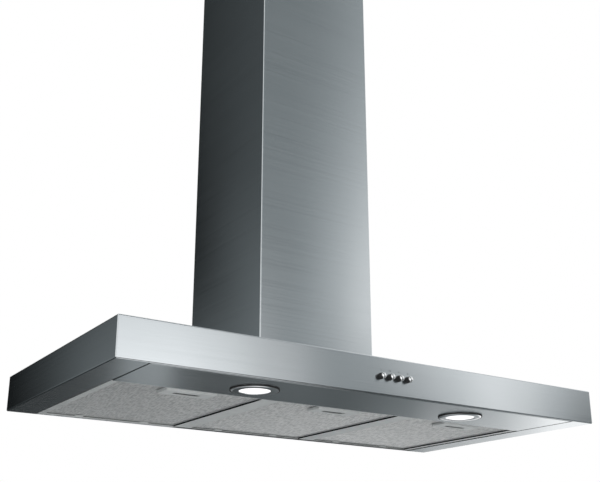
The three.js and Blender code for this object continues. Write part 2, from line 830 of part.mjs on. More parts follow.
// A shallow pressed tray below the filter's front edge, with the finger slot in its floor.
function filterHandle() {
  const half = handleWidth / 2;
  const wall = 1;
  const tray = prism('z', rectangle([-half, half], handleY, 4), handleZ, 2);
  const inside = prism(
    'z',
    rectangle([-half + wall, half - wall], [handleY[0] + wall, handleY[1] - wall], 3),
    [handleZ[0] + wall, handleZ[1] + 1],
    2,
  );
  const slot = prism(
    'z',
    rectangle([-slotWidth / 2, slotWidth / 2], slotY, slotLength * 0.3),
    [handleZ[0] - 1, handleZ[0] + wall + 1],
    2,
  );
  const gate = block(
    [-latchWidth / 2 - seat, latchWidth / 2 + seat],
    [handleY[0] - 1, handleY[0] + wall + 1],
    [latchZ[0] - seat, handleZ[1] + 1],
  );
  return cut(tray, inside, slot, gate);
}

// The slider: a tongue over the front ledge, a finger window, and a lip at the window's back edge.
function filterLatch() {
  const half = latchWidth / 2;
  const plate = block([-half, half], [latchTipY, latchRearY], latchZ);
  const window = block([-slotWidth / 2, slotWidth / 2], slotY, [latchZ[0] - 1, latchZ[1] + 1]);
  const lip = block(
    [-slotWidth / 2, slotWidth / 2],
    [slotY[1], latchRearY],
    [latchZ[0] - latchLipDepth, latchZ[1]],
  );
  return join(cut(plate, window), lip);
}

const filterNames = ['left', 'middle', 'right'];
filterXs.forEach((x, i) => {
  const filter = group(x, 0, 0);
  add(`filter_frame_${filterNames[i]}`, filterFrame(), 'aluminium', filter);
  add(`filter_mesh_${filterNames[i]}`, filterMesh(), 'aluminium', filter);
  add(`filter_handle_${filterNames[i]}`, filterHandle(), 'aluminium', filter);
  add(`filter_latch_${filterNames[i]}`, filterLatch(), 'aluminium', filter);
});

// ---------------------------------------------------------------- blower box

const duct = [0, outletY];
const boxLidZ = boxTop - sheet;

// Three walls and a top folded from one sheet, feet on the canopy, keyholes in the wall side.
function blowerBox() {
  const z = [boxFloorZ, boxTop];
  const outer = block([-boxHalf, boxHalf], [boxFrontY, 0], z);
  const inside = block(
    [-boxHalf + sheet, boxHalf - sheet],
    [boxFrontY + sheet, -sheet],
    [z[0] - 1, boxLidZ],
  );
  const frontWindow = block(
    [-boxHalf + boxFlange, boxHalf - boxFlange],
    [boxFrontY - 1, boxFrontY + sheet + 1],
    [z[0] + boxFlange, boxTop - boxFlange],
  );
  const feet = [-1, 1].map((side) => block(
    [side * (boxHalf - sheet), side * (boxHalf + boxFlange)].sort((a, b) => a - b),
    [boxFrontY, 0],
    [z[0], z[0] + sheet],
  ));
  const outlet = round('z', duct, ductRadius - 3, [boxLidZ - 1, boxTop + 1], 28);
  const keyholes = [-1, 1].flatMap((side) => {
    const x = side * keyholeSpacing / 2;
    const head = round('y', [x, hangHeight - keyholeRise], keyholeHead, [-2, 1], 16);
    const slot = block([x - keyholeSlot, x + keyholeSlot], [-2, 1], [hangHeight - keyholeRise, hangHeight]);
    const end = round('y', [x, hangHeight], keyholeSlot, [-2, 1], 12);
    return [head, slot, end];
  });
  return cut(join(cut(outer, inside), ...feet), frontWindow, outlet, ...keyholes);
}

function blowerBoxCover() {
  const y = [boxFrontY - seat - sheet, boxFrontY - seat];
  const plate = prism('y', rectangle([-boxHalf, boxHalf], [boxFloorZ + 2, boxTop - 1], 3), y, 2);
  const bead = boxFlange + 10;
  const pressed = prism(
    'y',
    rectangle([-boxHalf + bead, boxHalf - bead], [boxFloorZ + bead, boxTop - bead], 8),
    [y[0] - 2, y[1]],
    2,
  );
  const hollow = prism(
    'y',
    rectangle([-boxHalf + bead + 1, boxHalf - bead - 1], [boxFloorZ + bead + 1, boxTop - bead - 1], 7),
    [y[0] - 1, y[1] + 1],
    2,
  );
  return cut(join(plate, pressed), hollow);
}

add('blower_box', blowerBox(), 'galvanised');
add('blower_box_cover', blowerBoxCover(), 'galvanised');

// ---------------------------------------------------------------- fan: scroll, wheel and motor

const throatFrontY = fanY - scrollEnd;
const scrollTop = boxLidZ - seat;

// The scroll's outline, grown by an offset: it opens steadily from the tongue round to the throat.
function scrollOutline(offset) {
  const points = [[fanY, fanHeight]];
  const steps = 18;
  for (let i = 0; i <= steps; i += 1) {
    const angle = tongueAngle - (scrollTurn * i) / steps;
    const radius = scrollStart + growthAt(angle) + offset;
    points.push([
      fanY + radius * Math.cos(toRadians(angle)),
      fanHeight + radius * Math.sin(toRadians(angle)),
    ]);
  }
  return polygon(points);
}

function scrollBody(offset, span) {
  const throat = block(
    span,
    [throatFrontY - offset, tongueY + offset],
    [fanHeight, scrollTop + (offset > 0 ? 0 : 1)],
  );
  return join(prism('x', scrollOutline(offset), span), throat);
}

// One half of the moulded housing. The halves meet on the wheel's mid plane.
function scrollHalf(side) {
  const span = (low, high) => [side * low, side * high].sort((a, b) => a - b);
  const outer = scrollWidth / 2;
  const parting = seat / 2;
  const shell = scrollBody(scrollWall, span(parting, outer));
  const cavity = scrollBody(0, span(-1, outer - sideWall));
  const rimFlange = scrollBody(scrollShell, span(parting, parting + 2.5));
  const outletFlange = block(
    span(parting, outer + 6),
    [throatFrontY - scrollShell, tongueY + scrollShell],
    [scrollTop - 2, scrollTop],
  );
  const eye = round('x', [fanY, fanHeight], inletRadius, span(outer - sideWall - 4, outer + 4), 28);
  const bellmouth = revolve('x', [fanY, fanHeight], [
    [inletRadius, side * (outer - sideWall - 4)],
    [inletRadius + 1.5, side * (outer - sideWall - 4)],
    [inletRadius + 1.5, side * (outer - 0.5)],
    [inletRadius + 6, side * (outer - 0.5)],
    [inletRadius + 4, side * (outer + 2)],
    [inletRadius, side * (outer + 1.2)],
  ], 28);
  return join(cut(join(shell, rimFlange, outletFlange), cavity, eye), bellmouth);
}

// Forward-curved blades between two rings, crossed by the hub's plate.
function impeller() {
  const half = wheelWidth / 2;
  const inner = wheelRadius - bladeDepth;
  const ring = (from, to) => revolve('x', [0, 0], [
    [wheelRadius - 5, from],
    [wheelRadius + 0.8, from],
    [wheelRadius + 0.8, to],
    [wheelRadius - 5, to],
  ], bladeCount);
  const hub = revolve('x', [0, 0], [
    [shaftRadius + seat, -9],
    [10, -9],
    [12, -2],
    [wheelRadius - 1, -1],
    [wheelRadius - 1, 1],
    [12, 2],
    [10, 9],
    [shaftRadius + seat, 9],
  ], bladeCount);
  const stations = [0, 1, 2];
  const bladeLine = (offset) => stations.map((i) => {
    const radius = inner + (bladeDepth * i) / 2;
    const angle = 0.032 * i * i + offset / radius;
    return [radius * Math.cos(angle), radius * Math.sin(angle)];
  });
  const section = polygon([
    ...bladeLine(-bladeThickness / 2),
    ...bladeLine(bladeThickness / 2).reverse(),
  ]);
  const blades = Array.from({ length: bladeCount }, (_, i) => (
    prism('x', section, [-half + 3, half - 3]).rotate([(360 * i) / bladeCount, 0, 0])
  ));
  return join(hub, ring(-half, -half + 3), ring(half - 3, half), ...blades);
}

const motorX = [12, 12 + motorLength];
const bracketX = [scrollWidth / 2 + 2 + seat, scrollWidth / 2 + 2 + seat + 3];

// The motor's case: stepped end shields, cooling grooves round the middle and a bearing bore.
function motor() {
  const [from, to] = motorX;
  const groove = (x) => [
    [motorRadius, x],
    [motorRadius - 2.5, x],
    [motorRadius - 2.5, x + 3],
    [motorRadius, x + 3],
  ];
  return revolve('x', [0, 0], [
    [0, from + 16],
    [shaftRadius + seat, from + 16],
    [shaftRadius + seat, from - 3],
    [9, from - 3],
    [11, from],
    [motorRadius - 8, from],
    [motorRadius - 1, from + 5],
    ...[0, 1].flatMap((i) => groove(from + 15 + i * 14)),
    [motorRadius - 1, to - 5],
    [motorRadius - 8, to],
    [20, to],
    [20, bracketX[0] - seat],
    [0, bracketX[0] - seat],
  ], 18);
}

function motorShaft() {
  const end = motorX[0] + 16 - seat;
  return revolve('x', [0, 0], [
    [0, -14],
    [shaftRadius - 0.5, -14],
    [shaftRadius, -13.5],
    [shaftRadius, end],
    [0, end],
  ], 16);
}

// Three arms from a centre plate to feet on the scroll's side wall.
function motorBracket() {
  const reach = inletRadius + 14;
  const armWidth = 14;
  const plate = round('x', [0, 0], 22, bracketX, 24);
  const arms = [90, 210, 330].map((angle) => {
    const arm = block(bracketX, [0, reach], [-armWidth / 2, armWidth / 2]);
    const foot = block(
      [scrollWidth / 2 + seat, bracketX[1]],
      [reach - 6, reach],
      [-armWidth / 2, armWidth / 2],
    );
    return join(arm, foot).rotate([angle, 0, 0]);
  });
  const wireHole = round('x', [0, 0], 4, [bracketX[0] - 1, bracketX[1] + 1], 12);
  return cut(join(plate, ...arms), wireHole);
}

const fan = group(0, fanY, fanHeight);
add('scroll_left', scrollHalf(-1), 'greyPlastic');
add('scroll_right', scrollHalf(1), 'greyPlastic');
add('impeller', impeller(), 'darkPlastic', fan);
add('motor_shaft', motorShaft(), 'steel', fan);
add('motor', motor(), 'galvanised', fan);
add('motor_bracket', motorBracket(), 'galvanised', fan);

// ---------------------------------------------------------------- duct collar and damper

const collarZ = boxTop + seat;
const pinZ = collarZ + damperHeight;
const collarOuter = ductRadius - 0.5;
const collarInner = collarOuter - collarWall;
const flapRadius = collarInner - 1.3;
const knuckleRadius = pinRadius + 1.7;
const flapLow = pinZ - flapThickness / 2;

// Flange on the box, a tapered spigot for the duct and a ledge that the closed flaps rest on.
function outletCollar() {
  const top = collarZ + collarHeight;
  const ledgeTop = flapLow - seat;
  const collar = revolve('z', duct, [
    [collarInner, collarZ],
    [ductRadius + 12, collarZ],
    [ductRadius + 12, collarZ + 2.5],
    [collarOuter, collarZ + 4],
    [collarOuter, top - 8],
    [collarOuter - 0.8, top],
    [collarInner, top],
    [collarInner, ledgeTop],
    [collarInner - 3, ledgeTop],
    [collarInner, ledgeTop - 4],
  ], 28);
  const pinHole = round('x', [outletY, pinZ], pinRadius + seat, [-ductRadius - 1, ductRadius + 1], 12);
  return cut(collar, pinHole);
}

// A half-moon flap on two knuckles. side is -1 for the room's half and 1 for the wall's half.
function damperFlap(side, knuckleXs) {
  const edge = knuckleRadius + 0.8;
  const knuckleHalf = 9;
  const z = [flapLow, flapLow + flapThickness];
  const disc = round('z', [0, 0], flapRadius, z, 28);
  const keep = block(
    [-flapRadius - 1, flapRadius + 1],
    [side * edge, side * (flapRadius + 1)].sort((a, b) => a - b),
    [z[0] - 1, z[1] + 1],
  );
  const rib = block(
    [-1, 1],
    [side * edge, side * (flapRadius - 6)].sort((a, b) => a - b),
    [z[0] - 3, z[0] + 0.5],
  );
  const knuckles = knuckleXs.flatMap((x) => [
    round('x', [0, pinZ], knuckleRadius, [x - knuckleHalf, x + knuckleHalf], 10),
    block([x - knuckleHalf, x + knuckleHalf], [side * 1, side * (edge + 1)].sort((a, b) => a - b), z),
  ]);
  const bore = round('x', [0, pinZ], pinRadius + seat, [-flapRadius, flapRadius], 10);
  return cut(join(disc.intersect(keep), rib, ...knuckles), bore);
}

const damper = group(0, outletY, 0);
add('outlet_collar', outletCollar(), 'greyPlastic');
add('damper_flap_front', damperFlap(-1, [-36, 12]), 'greyPlastic', damper);
add('damper_flap_rear', damperFlap(1, [-12, 36]), 'greyPlastic', damper);
add('damper_pin', round('x', [0, pinZ], pinRadius, [-collarOuter, collarOuter], 10), 'steel', damper);

// ---------------------------------------------------------------- chimney

// Plan of a chimney section: a U with round front folds and a narrow flange along the wall.
function chimneyOutline(inset, rearY) {
  const half = chimneyWidth / 2 - inset;
  const front = -chimneyDepth + inset;
  const radius = foldRadius;
  const inner = radius - sheet;
  const outline = new THREE.Shape();
  outline.moveTo(half - chimneyFlange, rearY);
  outline.lineTo(half - chimneyFlange, rearY - sheet);
  outline.lineTo(half - sheet, rearY - sheet);
  outline.lineTo(half - sheet, front + radius);
  outline.absarc(half - radius, front + radius, inner, 0, -Math.PI / 2, true);
  outline.lineTo(-half + radius, front + sheet);
  outline.absarc(-half + radius, front + radius, inner, -Math.PI / 2, -Math.PI, true);
  outline.lineTo(-half + sheet, rearY - sheet);
  outline.lineTo(-half + chimneyFlange, rearY - sheet);
  outline.lineTo(-half + chimneyFlange, rearY);
  outline.lineTo(-half, rearY);
  outline.lineTo(-half, front + radius);
  outline.absarc(-half + radius, front + radius, radius, Math.PI, Math.PI * 1.5, false);
  outline.lineTo(half - radius, front);
  outline.absarc(half - radius, front + radius, radius, -Math.PI / 2, 0, false);
  outline.lineTo(half, rearY);
  return outline;
}

function chimneyLower() {
  const z = [lowerChimneyZ, lowerChimneyTop];
  const walls = prism('z', chimneyOutline(0, 0), z, 4);
  const footWidth = 8;
  const feet = [-1, 1].map((side) => block(
    [side * (chimneyWidth / 2 - sheet / 2), side * (chimneyWidth / 2 - sheet - footWidth)].sort((a, b) => a - b),
    [-chimneyDepth + 30, -30],
    [z[0], z[0] + sheet],
  ));
  const holes = baseScrewXs.map((x) => round('z', [x, baseScrewY], screwHole, [z[0] - 1, z[0] + 2], 10));
  return cut(join(walls, ...feet), ...holes);
}

const upperInset = sheet + slideGap;
const upperRearY = -sheet - slideGap;
const bracketZ = [upperChimneyTop - 42, upperChimneyTop - 8];
const bracketScrewZ = (bracketZ[0] + bracketZ[1]) / 2 + 3;
const bracketScrewY = -18;

function chimneyUpper() {
  const walls = prism('z', chimneyOutline(upperInset, upperRearY), [upperChimneyZ, upperChimneyTop], 4);
  const hole = round(
    'x',
    [bracketScrewY, bracketScrewZ],
    screwHole,
    [-chimneyWidth / 2 - 1, chimneyWidth / 2 + 1],
    10,
  );
  return cut(walls, hole);
}

// The bracket that is screwed to the wall near the ceiling: joggled ends with ears for the chimney.
function chimneyWallBracket() {
  const gauge = 1.5;
  const ear = chimneyWidth / 2 - upperInset - sheet - seat;
  const webHalf = ear - chimneyFlange - 4;
  const stepY = upperRearY - sheet - seat;
  const earY = -30;
  const half = [
    [webHalf, 0],
    [webHalf, stepY],
    [ear, stepY],
    [ear, earY],
    [ear - gauge, earY],
    [ear - gauge, stepY - gauge],
    [webHalf - gauge, stepY - gauge],
    [webHalf - gauge, -gauge],
  ];
  const outline = polygon([...half, ...half.map(([x, y]) => [-x, y]).reverse()]);
  const wallHoles = [-60, 60].map((x) => round('y', [x, bracketScrewZ], wallScrewHole, [-gauge - 1, 1], 10));
  const sideHole = round(
    'x',
    [bracketScrewY, bracketScrewZ],
    screwHole,
    [-chimneyWidth / 2, chimneyWidth / 2],
    10,
  );
  return cut(prism('z', outline, bracketZ), ...wallHoles, sideHole);
}

// Pan-head screw along its own axis: the head below zero, the shank above it.
const screwProfile = (length) => [
  [0, -2.2],
  [2.4, -2],
  [3.5, -0.8],
  [3.5, 0],
  [screwRadius, 0],
  [screwRadius, length - 1],
  [screwRadius - 0.9, length],
  [0, length],
];

add('chimney_lower', chimneyLower(), 'stainless');
add('chimney_upper', chimneyUpper(), 'stainless');
add('chimney_wall_bracket', chimneyWallBracket(), 'galvanised');

['left', 'right'].forEach((name, i) => {
  const side = i ? 1 : -1;
  const upright = group(baseScrewXs[i], baseScrewY, ceilingZ - seat);
  add(`chimney_base_screw_${name}`, revolve('z', [0, 0], screwProfile(7), 8), 'steel', upright);
  const face = side * (chimneyWidth / 2 - upperInset + seat);
  const sideways = group(face, bracketScrewY, bracketScrewZ);
  sideways.rotation.y = -side * Math.PI / 2;
  add(`chimney_bracket_screw_${name}`, revolve('z', [0, 0], screwProfile(6), 8), 'steel', sideways);
});

export default hood;
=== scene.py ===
# %% [markdown]
# A chimney range hood, built by hand around its working frame.
# The frame holds every part at its true place, in metres: X runs to the right seen from the room,
# Y into the wall and Z up. The hood hangs on the wall at the origin, and its underside is 0.3 m lower.
# We keep the hidden machinery as it is and give it real finishes. Every part that a cook sees is
# modelled again here, with folded edges, turned rings and woven mesh that plain solids lack.

import json
import math

import bpy
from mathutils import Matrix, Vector


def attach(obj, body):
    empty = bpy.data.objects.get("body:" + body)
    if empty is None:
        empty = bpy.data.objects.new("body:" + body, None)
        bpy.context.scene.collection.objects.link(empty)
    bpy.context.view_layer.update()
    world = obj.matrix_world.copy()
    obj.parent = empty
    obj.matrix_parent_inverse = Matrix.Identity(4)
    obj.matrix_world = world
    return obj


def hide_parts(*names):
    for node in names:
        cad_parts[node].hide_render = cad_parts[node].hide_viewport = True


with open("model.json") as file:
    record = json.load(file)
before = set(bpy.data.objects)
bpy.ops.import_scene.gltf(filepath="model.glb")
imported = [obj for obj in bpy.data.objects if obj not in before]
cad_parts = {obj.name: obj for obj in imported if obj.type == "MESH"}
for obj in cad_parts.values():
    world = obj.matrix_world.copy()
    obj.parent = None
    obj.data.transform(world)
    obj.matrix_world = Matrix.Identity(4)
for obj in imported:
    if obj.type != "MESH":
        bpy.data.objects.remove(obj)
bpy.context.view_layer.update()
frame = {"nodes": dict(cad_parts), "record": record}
nodes = frame["nodes"]

# %% [markdown]
# The camera stands low at the left, under the canopy's height, and looks up and to the right. That is
# why the picture shows the underside, the fascia and both faces of the chimney at once.
# Its place and lens come from lining up the canopy's corners, the lamps and the buttons.

# %% Camera
camera_place = Vector((-0.8794, -1.5090, -0.5691))
camera_turn = math.radians(33.731)
camera_pitch = math.radians(18.165)

camera_data = bpy.data.cameras.new("camera")
camera_data.lens = 55.046
camera_data.sensor_width = 36
camera_data.shift_y = 0.07
camera = bpy.data.objects.new("camera", camera_data)
camera.location = camera_place
camera.rotation_euler = (math.pi / 2 + camera_pitch, 0, -camera_turn)
bpy.context.scene.collection.objects.link(camera)
bpy.context.scene.camera = camera

# %% [markdown]
# A few small tools carry most of the work. Blender's operators act on whatever is selected, so one
# tool clears the selection, and another opens a mesh for editing with just the parts we ask for.

# %% Selecting and finishing
def clear_selection():
    if bpy.context.object and bpy.context.object.mode != "OBJECT":
        bpy.ops.object.mode_set(mode="OBJECT")
    bpy.ops.object.select_all(action="DESELECT")


def focus(piece):
    clear_selection()
    piece.select_set(True)
    bpy.context.view_layer.objects.active = piece


def settle(piece):
    """Puts the piece's place and size into its mesh, so that its object sits at the origin."""
    focus(piece)
    bpy.ops.object.transform_apply(location=True, rotation=True, scale=True)
    return piece


def middle(mesh, item):
    points = [mesh.vertices[i].co for i in item.vertices]
    return sum(points, Vector()) / len(points)


def edit(piece, kind, wanted):
    """Opens the piece for editing with only the edges or faces selected that wanted() says yes to."""
    focus(piece)
    mesh = piece.data
    for group in (mesh.vertices, mesh.edges, mesh.polygons):
        group.foreach_set("select", [False] * len(group))
    bpy.context.tool_settings.mesh_select_mode = (kind == "vertex", kind == "edge", kind == "face")
    if kind == "face":
        for face in mesh.polygons:
            face.select = bool(wanted(middle(mesh, face), face.normal))
    elif kind == "edge":
        for edge in mesh.edges:
            a, b = (mesh.vertices[i].co for i in edge.vertices)
            edge.select = bool(wanted((a + b) / 2, (b - a).normalized()))
    else:
        for vertex in mesh.vertices:
            vertex.select = bool(wanted(vertex.co))
    bpy.ops.object.mode_set(mode="EDIT")


def done():
    bpy.ops.object.mode_set(mode="OBJECT")


def near(a, b, slack=2e-5):
    return abs(a - b) < slack


def modify(piece, kind, **settings):
    """Adds a modifier and applies it at once."""
    focus(piece)
    modifier = piece.modifiers.new(kind.lower(), kind)
    for key, value in settings.items():
        setattr(modifier, key, value)
    bpy.ops.object.modifier_apply(modifier=modifier.name)


def cut_away(piece, *tools):
    """Subtracts each tool from the piece and throws the tool away."""
    for tool in tools:
        modify(piece, "BOOLEAN", operation="DIFFERENCE", object=tool, solver="EXACT")
        bpy.data.objects.remove(tool)


def smooth(piece, degrees=35):
    """Smooth over small angles, crisp over large ones, with big flat faces kept flat."""
    focus(piece)
    bpy.ops.object.shade_smooth_by_angle(angle=math.radians(degrees))
    modify(piece, "WEIGHTED_NORMAL", keep_sharp=True, weight=80)


def place(piece, body, slot, material, *stands_for):
    """Hands the finished piece over: its body, its material and the nodes it stands for. The slot argument
    is not used.
    """
    piece.data.materials.clear()
    for finish in material if isinstance(material, (list, tuple)) else [material]:
        piece.data.materials.append(finish)
    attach(piece, body)
    if stands_for:
        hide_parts(*stands_for)
    print(piece.name, len(piece.data.polygons), "faces")
    return piece


def twin(piece, name, shift=(0, 0, 0)):
    """A copy with a mesh of its own, moved by shift."""
    other = piece.copy()
    other.data = piece.data.copy()
    other.name = other.data.name = name
    bpy.context.scene.collection.objects.link(other)
    for vertex in other.data.vertices:
        vertex.co += Vector(shift)
    return other

# %% [markdown]
# Three ways to start a piece: a block between two corners, a flat sheet between two corners, and a
# ring that is extruded and scaled step by step along a profile, the way a lathe turns a knob.

# %% Starting shapes
def block(name, low, high):
    low, high = Vector(low), Vector(high)
    clear_selection()
    bpy.ops.mesh.primitive_cube_add(size=1, location=(low + high) / 2)
    piece = bpy.context.object
    piece.name = piece.data.name = name
    piece.scale = high - low
    return settle(piece)


def flat_sheet(name, x, y, z):
    """A rectangle at height z that faces down, as a part of the underside does."""
    clear_selection()
    bpy.ops.mesh.primitive_plane_add(size=1, location=((x[0] + x[1]) / 2, (y[0] + y[1]) / 2, z))
    piece = bpy.context.object
    piece.name = piece.data.name = name
    piece.scale = (x[1] - x[0], y[1] - y[0], 1)
    settle(piece)
    edit(piece, "face", lambda c, n: True)
    bpy.ops.mesh.flip_normals()
    done()
    return piece


def rod(name, centre, radius, length, axis="Z", sides=48):
    turns = {"X": (0, math.pi / 2, 0), "Y": (math.pi / 2, 0, 0), "Z": (0, 0, 0)}
    clear_selection()
    bpy.ops.mesh.primitive_cylinder_add(
        vertices=sides, radius=radius, depth=length, location=centre, rotation=turns[axis],
    )
    piece = bpy.context.object
    piece.name = piece.data.name = name
    return settle(piece)


def turned(name, centre, profile, axis="Z", sides=64, closed=False):
    """Extrudes and scales a ring along a profile of (radius, height) pairs.
    A closed profile joins its end to its start; an open one gets a flat cap at each end."""
    clear_selection()
    first_radius, first_height = profile[0]
    bpy.ops.mesh.primitive_circle_add(vertices=sides, radius=first_radius, location=(0, 0, first_height))
    piece = bpy.context.object
    piece.name = piece.data.name = name
    settle(piece)
    edit(piece, "edge", lambda c, d: True)
    if not closed:
        bpy.ops.mesh.edge_face_add()
        done()
        edit(piece, "edge", lambda c, d: True)
    steps = list(profile[1:]) + ([profile[0]] if closed else [])
    radius, height = first_radius, first_height
    for next_radius, next_height in steps:
        bpy.ops.mesh.extrude_edges_move(TRANSFORM_OT_translate={"value": (0, 0, next_height - height)})
        ratio = next_radius / radius
        bpy.ops.transform.resize(value=(ratio, ratio, 1), center_override=(0, 0, next_height))
        radius, height = next_radius, next_height
    if not closed:
        bpy.ops.mesh.edge_face_add()
    bpy.ops.mesh.select_all(action="SELECT")
    bpy.ops.mesh.remove_doubles(threshold=1e-6)
    bpy.ops.mesh.normals_make_consistent(inside=False)
    done()
    if axis == "Y":
        piece.rotation_euler = (-math.pi / 2, 0, 0)
    piece.location = centre
    return settle(piece)

# %% [markdown]
# Every material is a small tree of shader nodes. These helpers add and link a node, and turn noise
# into a colour, a number or a shallow bump.

# %% Materials: sockets and links
def new_material(name):
    material = bpy.data.materials.new(name)
    material.use_nodes = True
    tree = material.node_tree
    return material, tree, tree.nodes["Principled BSDF"]


def node(tree, kind, links=None, **settings):
    made = tree.nodes.new(kind)
    for key, value in settings.items():
        if key in made.bl_rna.properties:
            setattr(made, key, value)
        else:
            made.inputs[key.replace("_", " ")].default_value = value
    for socket, source in (links or {}).items():
        tree.links.new(source, made.inputs[socket])
    return made


def stretched_noise(tree, scale, size, detail=3.0):
    """Noise read from Object coordinates, drawn out along the axes whose scale is small."""
    where = node(tree, "ShaderNodeTexCoord")
    mapped = node(tree, "ShaderNodeMapping", {"Vector": where.outputs["Object"]}, Scale=scale)
    noise = node(tree, "ShaderNodeTexNoise", {"Vector": mapped.outputs["Vector"]}, Scale=size, Detail=detail)
    return noise.outputs["Fac"]


def spread(tree, value, low, high, start=0.3, end=0.7):
    """Maps a noise value to the range low to high."""
    made = node(tree, "ShaderNodeMapRange", {"Value": value})
    for socket, number in (("From Min", start), ("From Max", end), ("To Min", low), ("To Max", high)):
        made.inputs[socket].default_value = number
    return made.outputs["Result"]


def tint(tree, value, dark, light, start=0.3, end=0.7):
    """A colour between dark and light, steered by a noise value."""
    ramp = node(tree, "ShaderNodeValToRGB", {"Fac": value})
    ramp.color_ramp.elements[0].position = start
    ramp.color_ramp.elements[1].position = end
    ramp.color_ramp.elements[0].color = (*dark, 1)
    ramp.color_ramp.elements[1].color = (*light, 1)
    return ramp.outputs["Color"]


def bump(tree, shader, value, strength, distance):
    made = node(tree, "ShaderNodeBump", {"Height": value}, Strength=strength, Distance=distance)
    tree.links.new(made.outputs["Normal"], shader.inputs["Normal"])

# %% [markdown]
# Brushed stainless steel is a mirror with fine scratches that all run one way. Along the scratches
# reflections stay sharp, and across them they smear out, so the shader is made anisotropic and its
# tangent is turned across the grain. Noise stretched along the grain draws the scratches themselves.

# %% Brushed stainless steel
def brushed(name, dark, light, grain, tangent_axis, roughness=0.17, stretch=0.95):
    material, tree, shader = new_material(name)
    shader.inputs["Metallic"].default_value = 1.0
    shader.inputs["Anisotropic"].default_value = stretch
    shader.inputs["Anisotropic Rotation"].default_value = 0.25
    fine = stretched_noise(tree, grain, 1.0, 2.0)
    coarse = stretched_noise(tree, [g * 0.4 for g in grain], 1.0, 4.0)
    cloud = stretched_noise(tree, (1, 1, 1), 5.0, 3.0)
    both = node(tree, "ShaderNodeMath", {0: fine, 1: coarse}, operation="ADD").outputs[0]
    tree.links.new(tint(tree, both, dark, light, 0.75, 1.25), shader.inputs["Base Color"])
    streaks = spread(tree, both, roughness - 0.02, roughness + 0.02, 0.75, 1.25)
    haze = spread(tree, cloud, -0.01, 0.01)
    total = node(tree, "ShaderNodeMath", {0: streaks, 1: haze}, operation="ADD").outputs[0]
    tree.links.new(total, shader.inputs["Roughness"])
    bump(tree, shader, fine, 0.05, 0.00008)
    tangent = node(tree, "ShaderNodeTangent", direction_type="RADIAL", axis=tangent_axis)
    tree.links.new(tangent.outputs["Tangent"], shader.inputs["Tangent"])
    return material


steel_dark, steel_light = (0.615, 0.645, 0.665), (0.655, 0.69, 0.71)
upright_steel = brushed("steel_brushed_upright", steel_dark, steel_light, (4, 4, 1400), "Z")
under_steel = brushed("steel_brushed_underside", steel_dark, steel_light, (4, 1400, 4), "Y")

# %% [markdown]
# The other finishes follow the same pattern: one or two noises steer colour, roughness and a shallow
# bump, each at the scale of the real thing. The steel for the seams is painted nearly black, as painted
# shade for gaps a few millimetres wide, which little light gets into.

# %% Other metals
def plain_metal(name, dark, light, roughness, size, depth=0.0002, strength=0.1, metallic=1.0):
    material, tree, shader = new_material(name)
    shader.inputs["Metallic"].default_value = metallic
    grain = stretched_noise(tree, (1, 1, 1), size, 5.0)
    cloud = stretched_noise(tree, (1, 1, 1), size * 0.06, 3.0)
    tree.links.new(tint(tree, cloud, dark, light), shader.inputs["Base Color"])
    tree.links.new(spread(tree, grain, roughness * 0.8, roughness * 1.2), shader.inputs["Roughness"])
    bump(tree, shader, grain, strength, depth)
    return material


def strand_metal(name, dark, light, roughness):
    """Expanded aluminium. Short dashes of colour along the mesh are painted glints of the slit edges."""
    material, tree, shader = new_material(name)
    shader.inputs["Metallic"].default_value = 0.75
    # The dashes set the colour, which paints glints, and also the roughness and the bump.
    dashes = stretched_noise(tree, (620, 90, 620), 1.0, 0.0)
    tree.links.new(tint(tree, dashes, dark, light, 0.35, 0.65), shader.inputs["Base Color"])
    tree.links.new(spread(tree, dashes, roughness + 0.06, roughness - 0.06), shader.inputs["Roughness"])
    bump(tree, shader, dashes, 0.1, 0.0002)
    return material


aluminium = plain_metal("aluminium_mill", (0.72, 0.74, 0.74), (0.78, 0.80, 0.80), 0.50, 900, metallic=0.7)
# The bright mesh metal, with its dashes of painted glints.
mesh_metal = strand_metal("aluminium_mesh", (0.62, 0.64, 0.64), (0.95, 0.96, 0.96), 0.45)
# Nearly black aluminium for the mesh's back layers: painted shade.
mesh_painted_shade = strand_metal("aluminium_mesh_painted_shade", (0.08, 0.09, 0.09), (0.18, 0.19, 0.19), 0.55)
chrome = plain_metal("chrome_polished", (0.80, 0.81, 0.82), (0.86, 0.87, 0.88), 0.06, 400, 0.00002, 0.05)
# Near-black steel for rims and borders beside the seams: painted shade.
painted_shade_steel = plain_metal("steel_painted_seam_shade", (0.020, 0.022, 0.024), (0.035, 0.037, 0.040), 0.6, 700)
# Turned steel for the steel parts. The aluminium latches take it too, as it is darker: painted shade in the
# finger slots.
turned_steel_and_latch_shade = plain_metal("steel_turned_and_latch_shade", (0.46, 0.47, 0.48), (0.58, 0.59, 0.60), 0.30, 700)


def galvanised_sheet():
    """Zinc shows as flat crystals a few millimetres wide, each a little lighter or darker."""
    material, tree, shader = new_material("zinc_coated_steel")
    shader.inputs["Metallic"].default_value = 0.9
    where = node(tree, "ShaderNodeTexCoord")
    crystals = node(tree, "ShaderNodeTexVoronoi", {"Vector": where.outputs["Object"]}, Scale=130.0)
    tree.links.new(
        tint(tree, crystals.outputs["Color"], (0.42, 0.45, 0.47), (0.56, 0.59, 0.61), 0.2, 0.8),
        shader.inputs["Base Color"],
    )
    tree.links.new(spread(tree, crystals.outputs["Color"], 0.36, 0.52, 0.2, 0.8), shader.inputs["Roughness"])
    bump(tree, shader, crystals.outputs["Distance"], 0.04, 0.0002)
    return material


galvanised = galvanised_sheet()

# %% [markdown]
# Plastic, rubber and glass are not metals. Their colour is almost even, and a fine grain steers how
# sharply they shine.

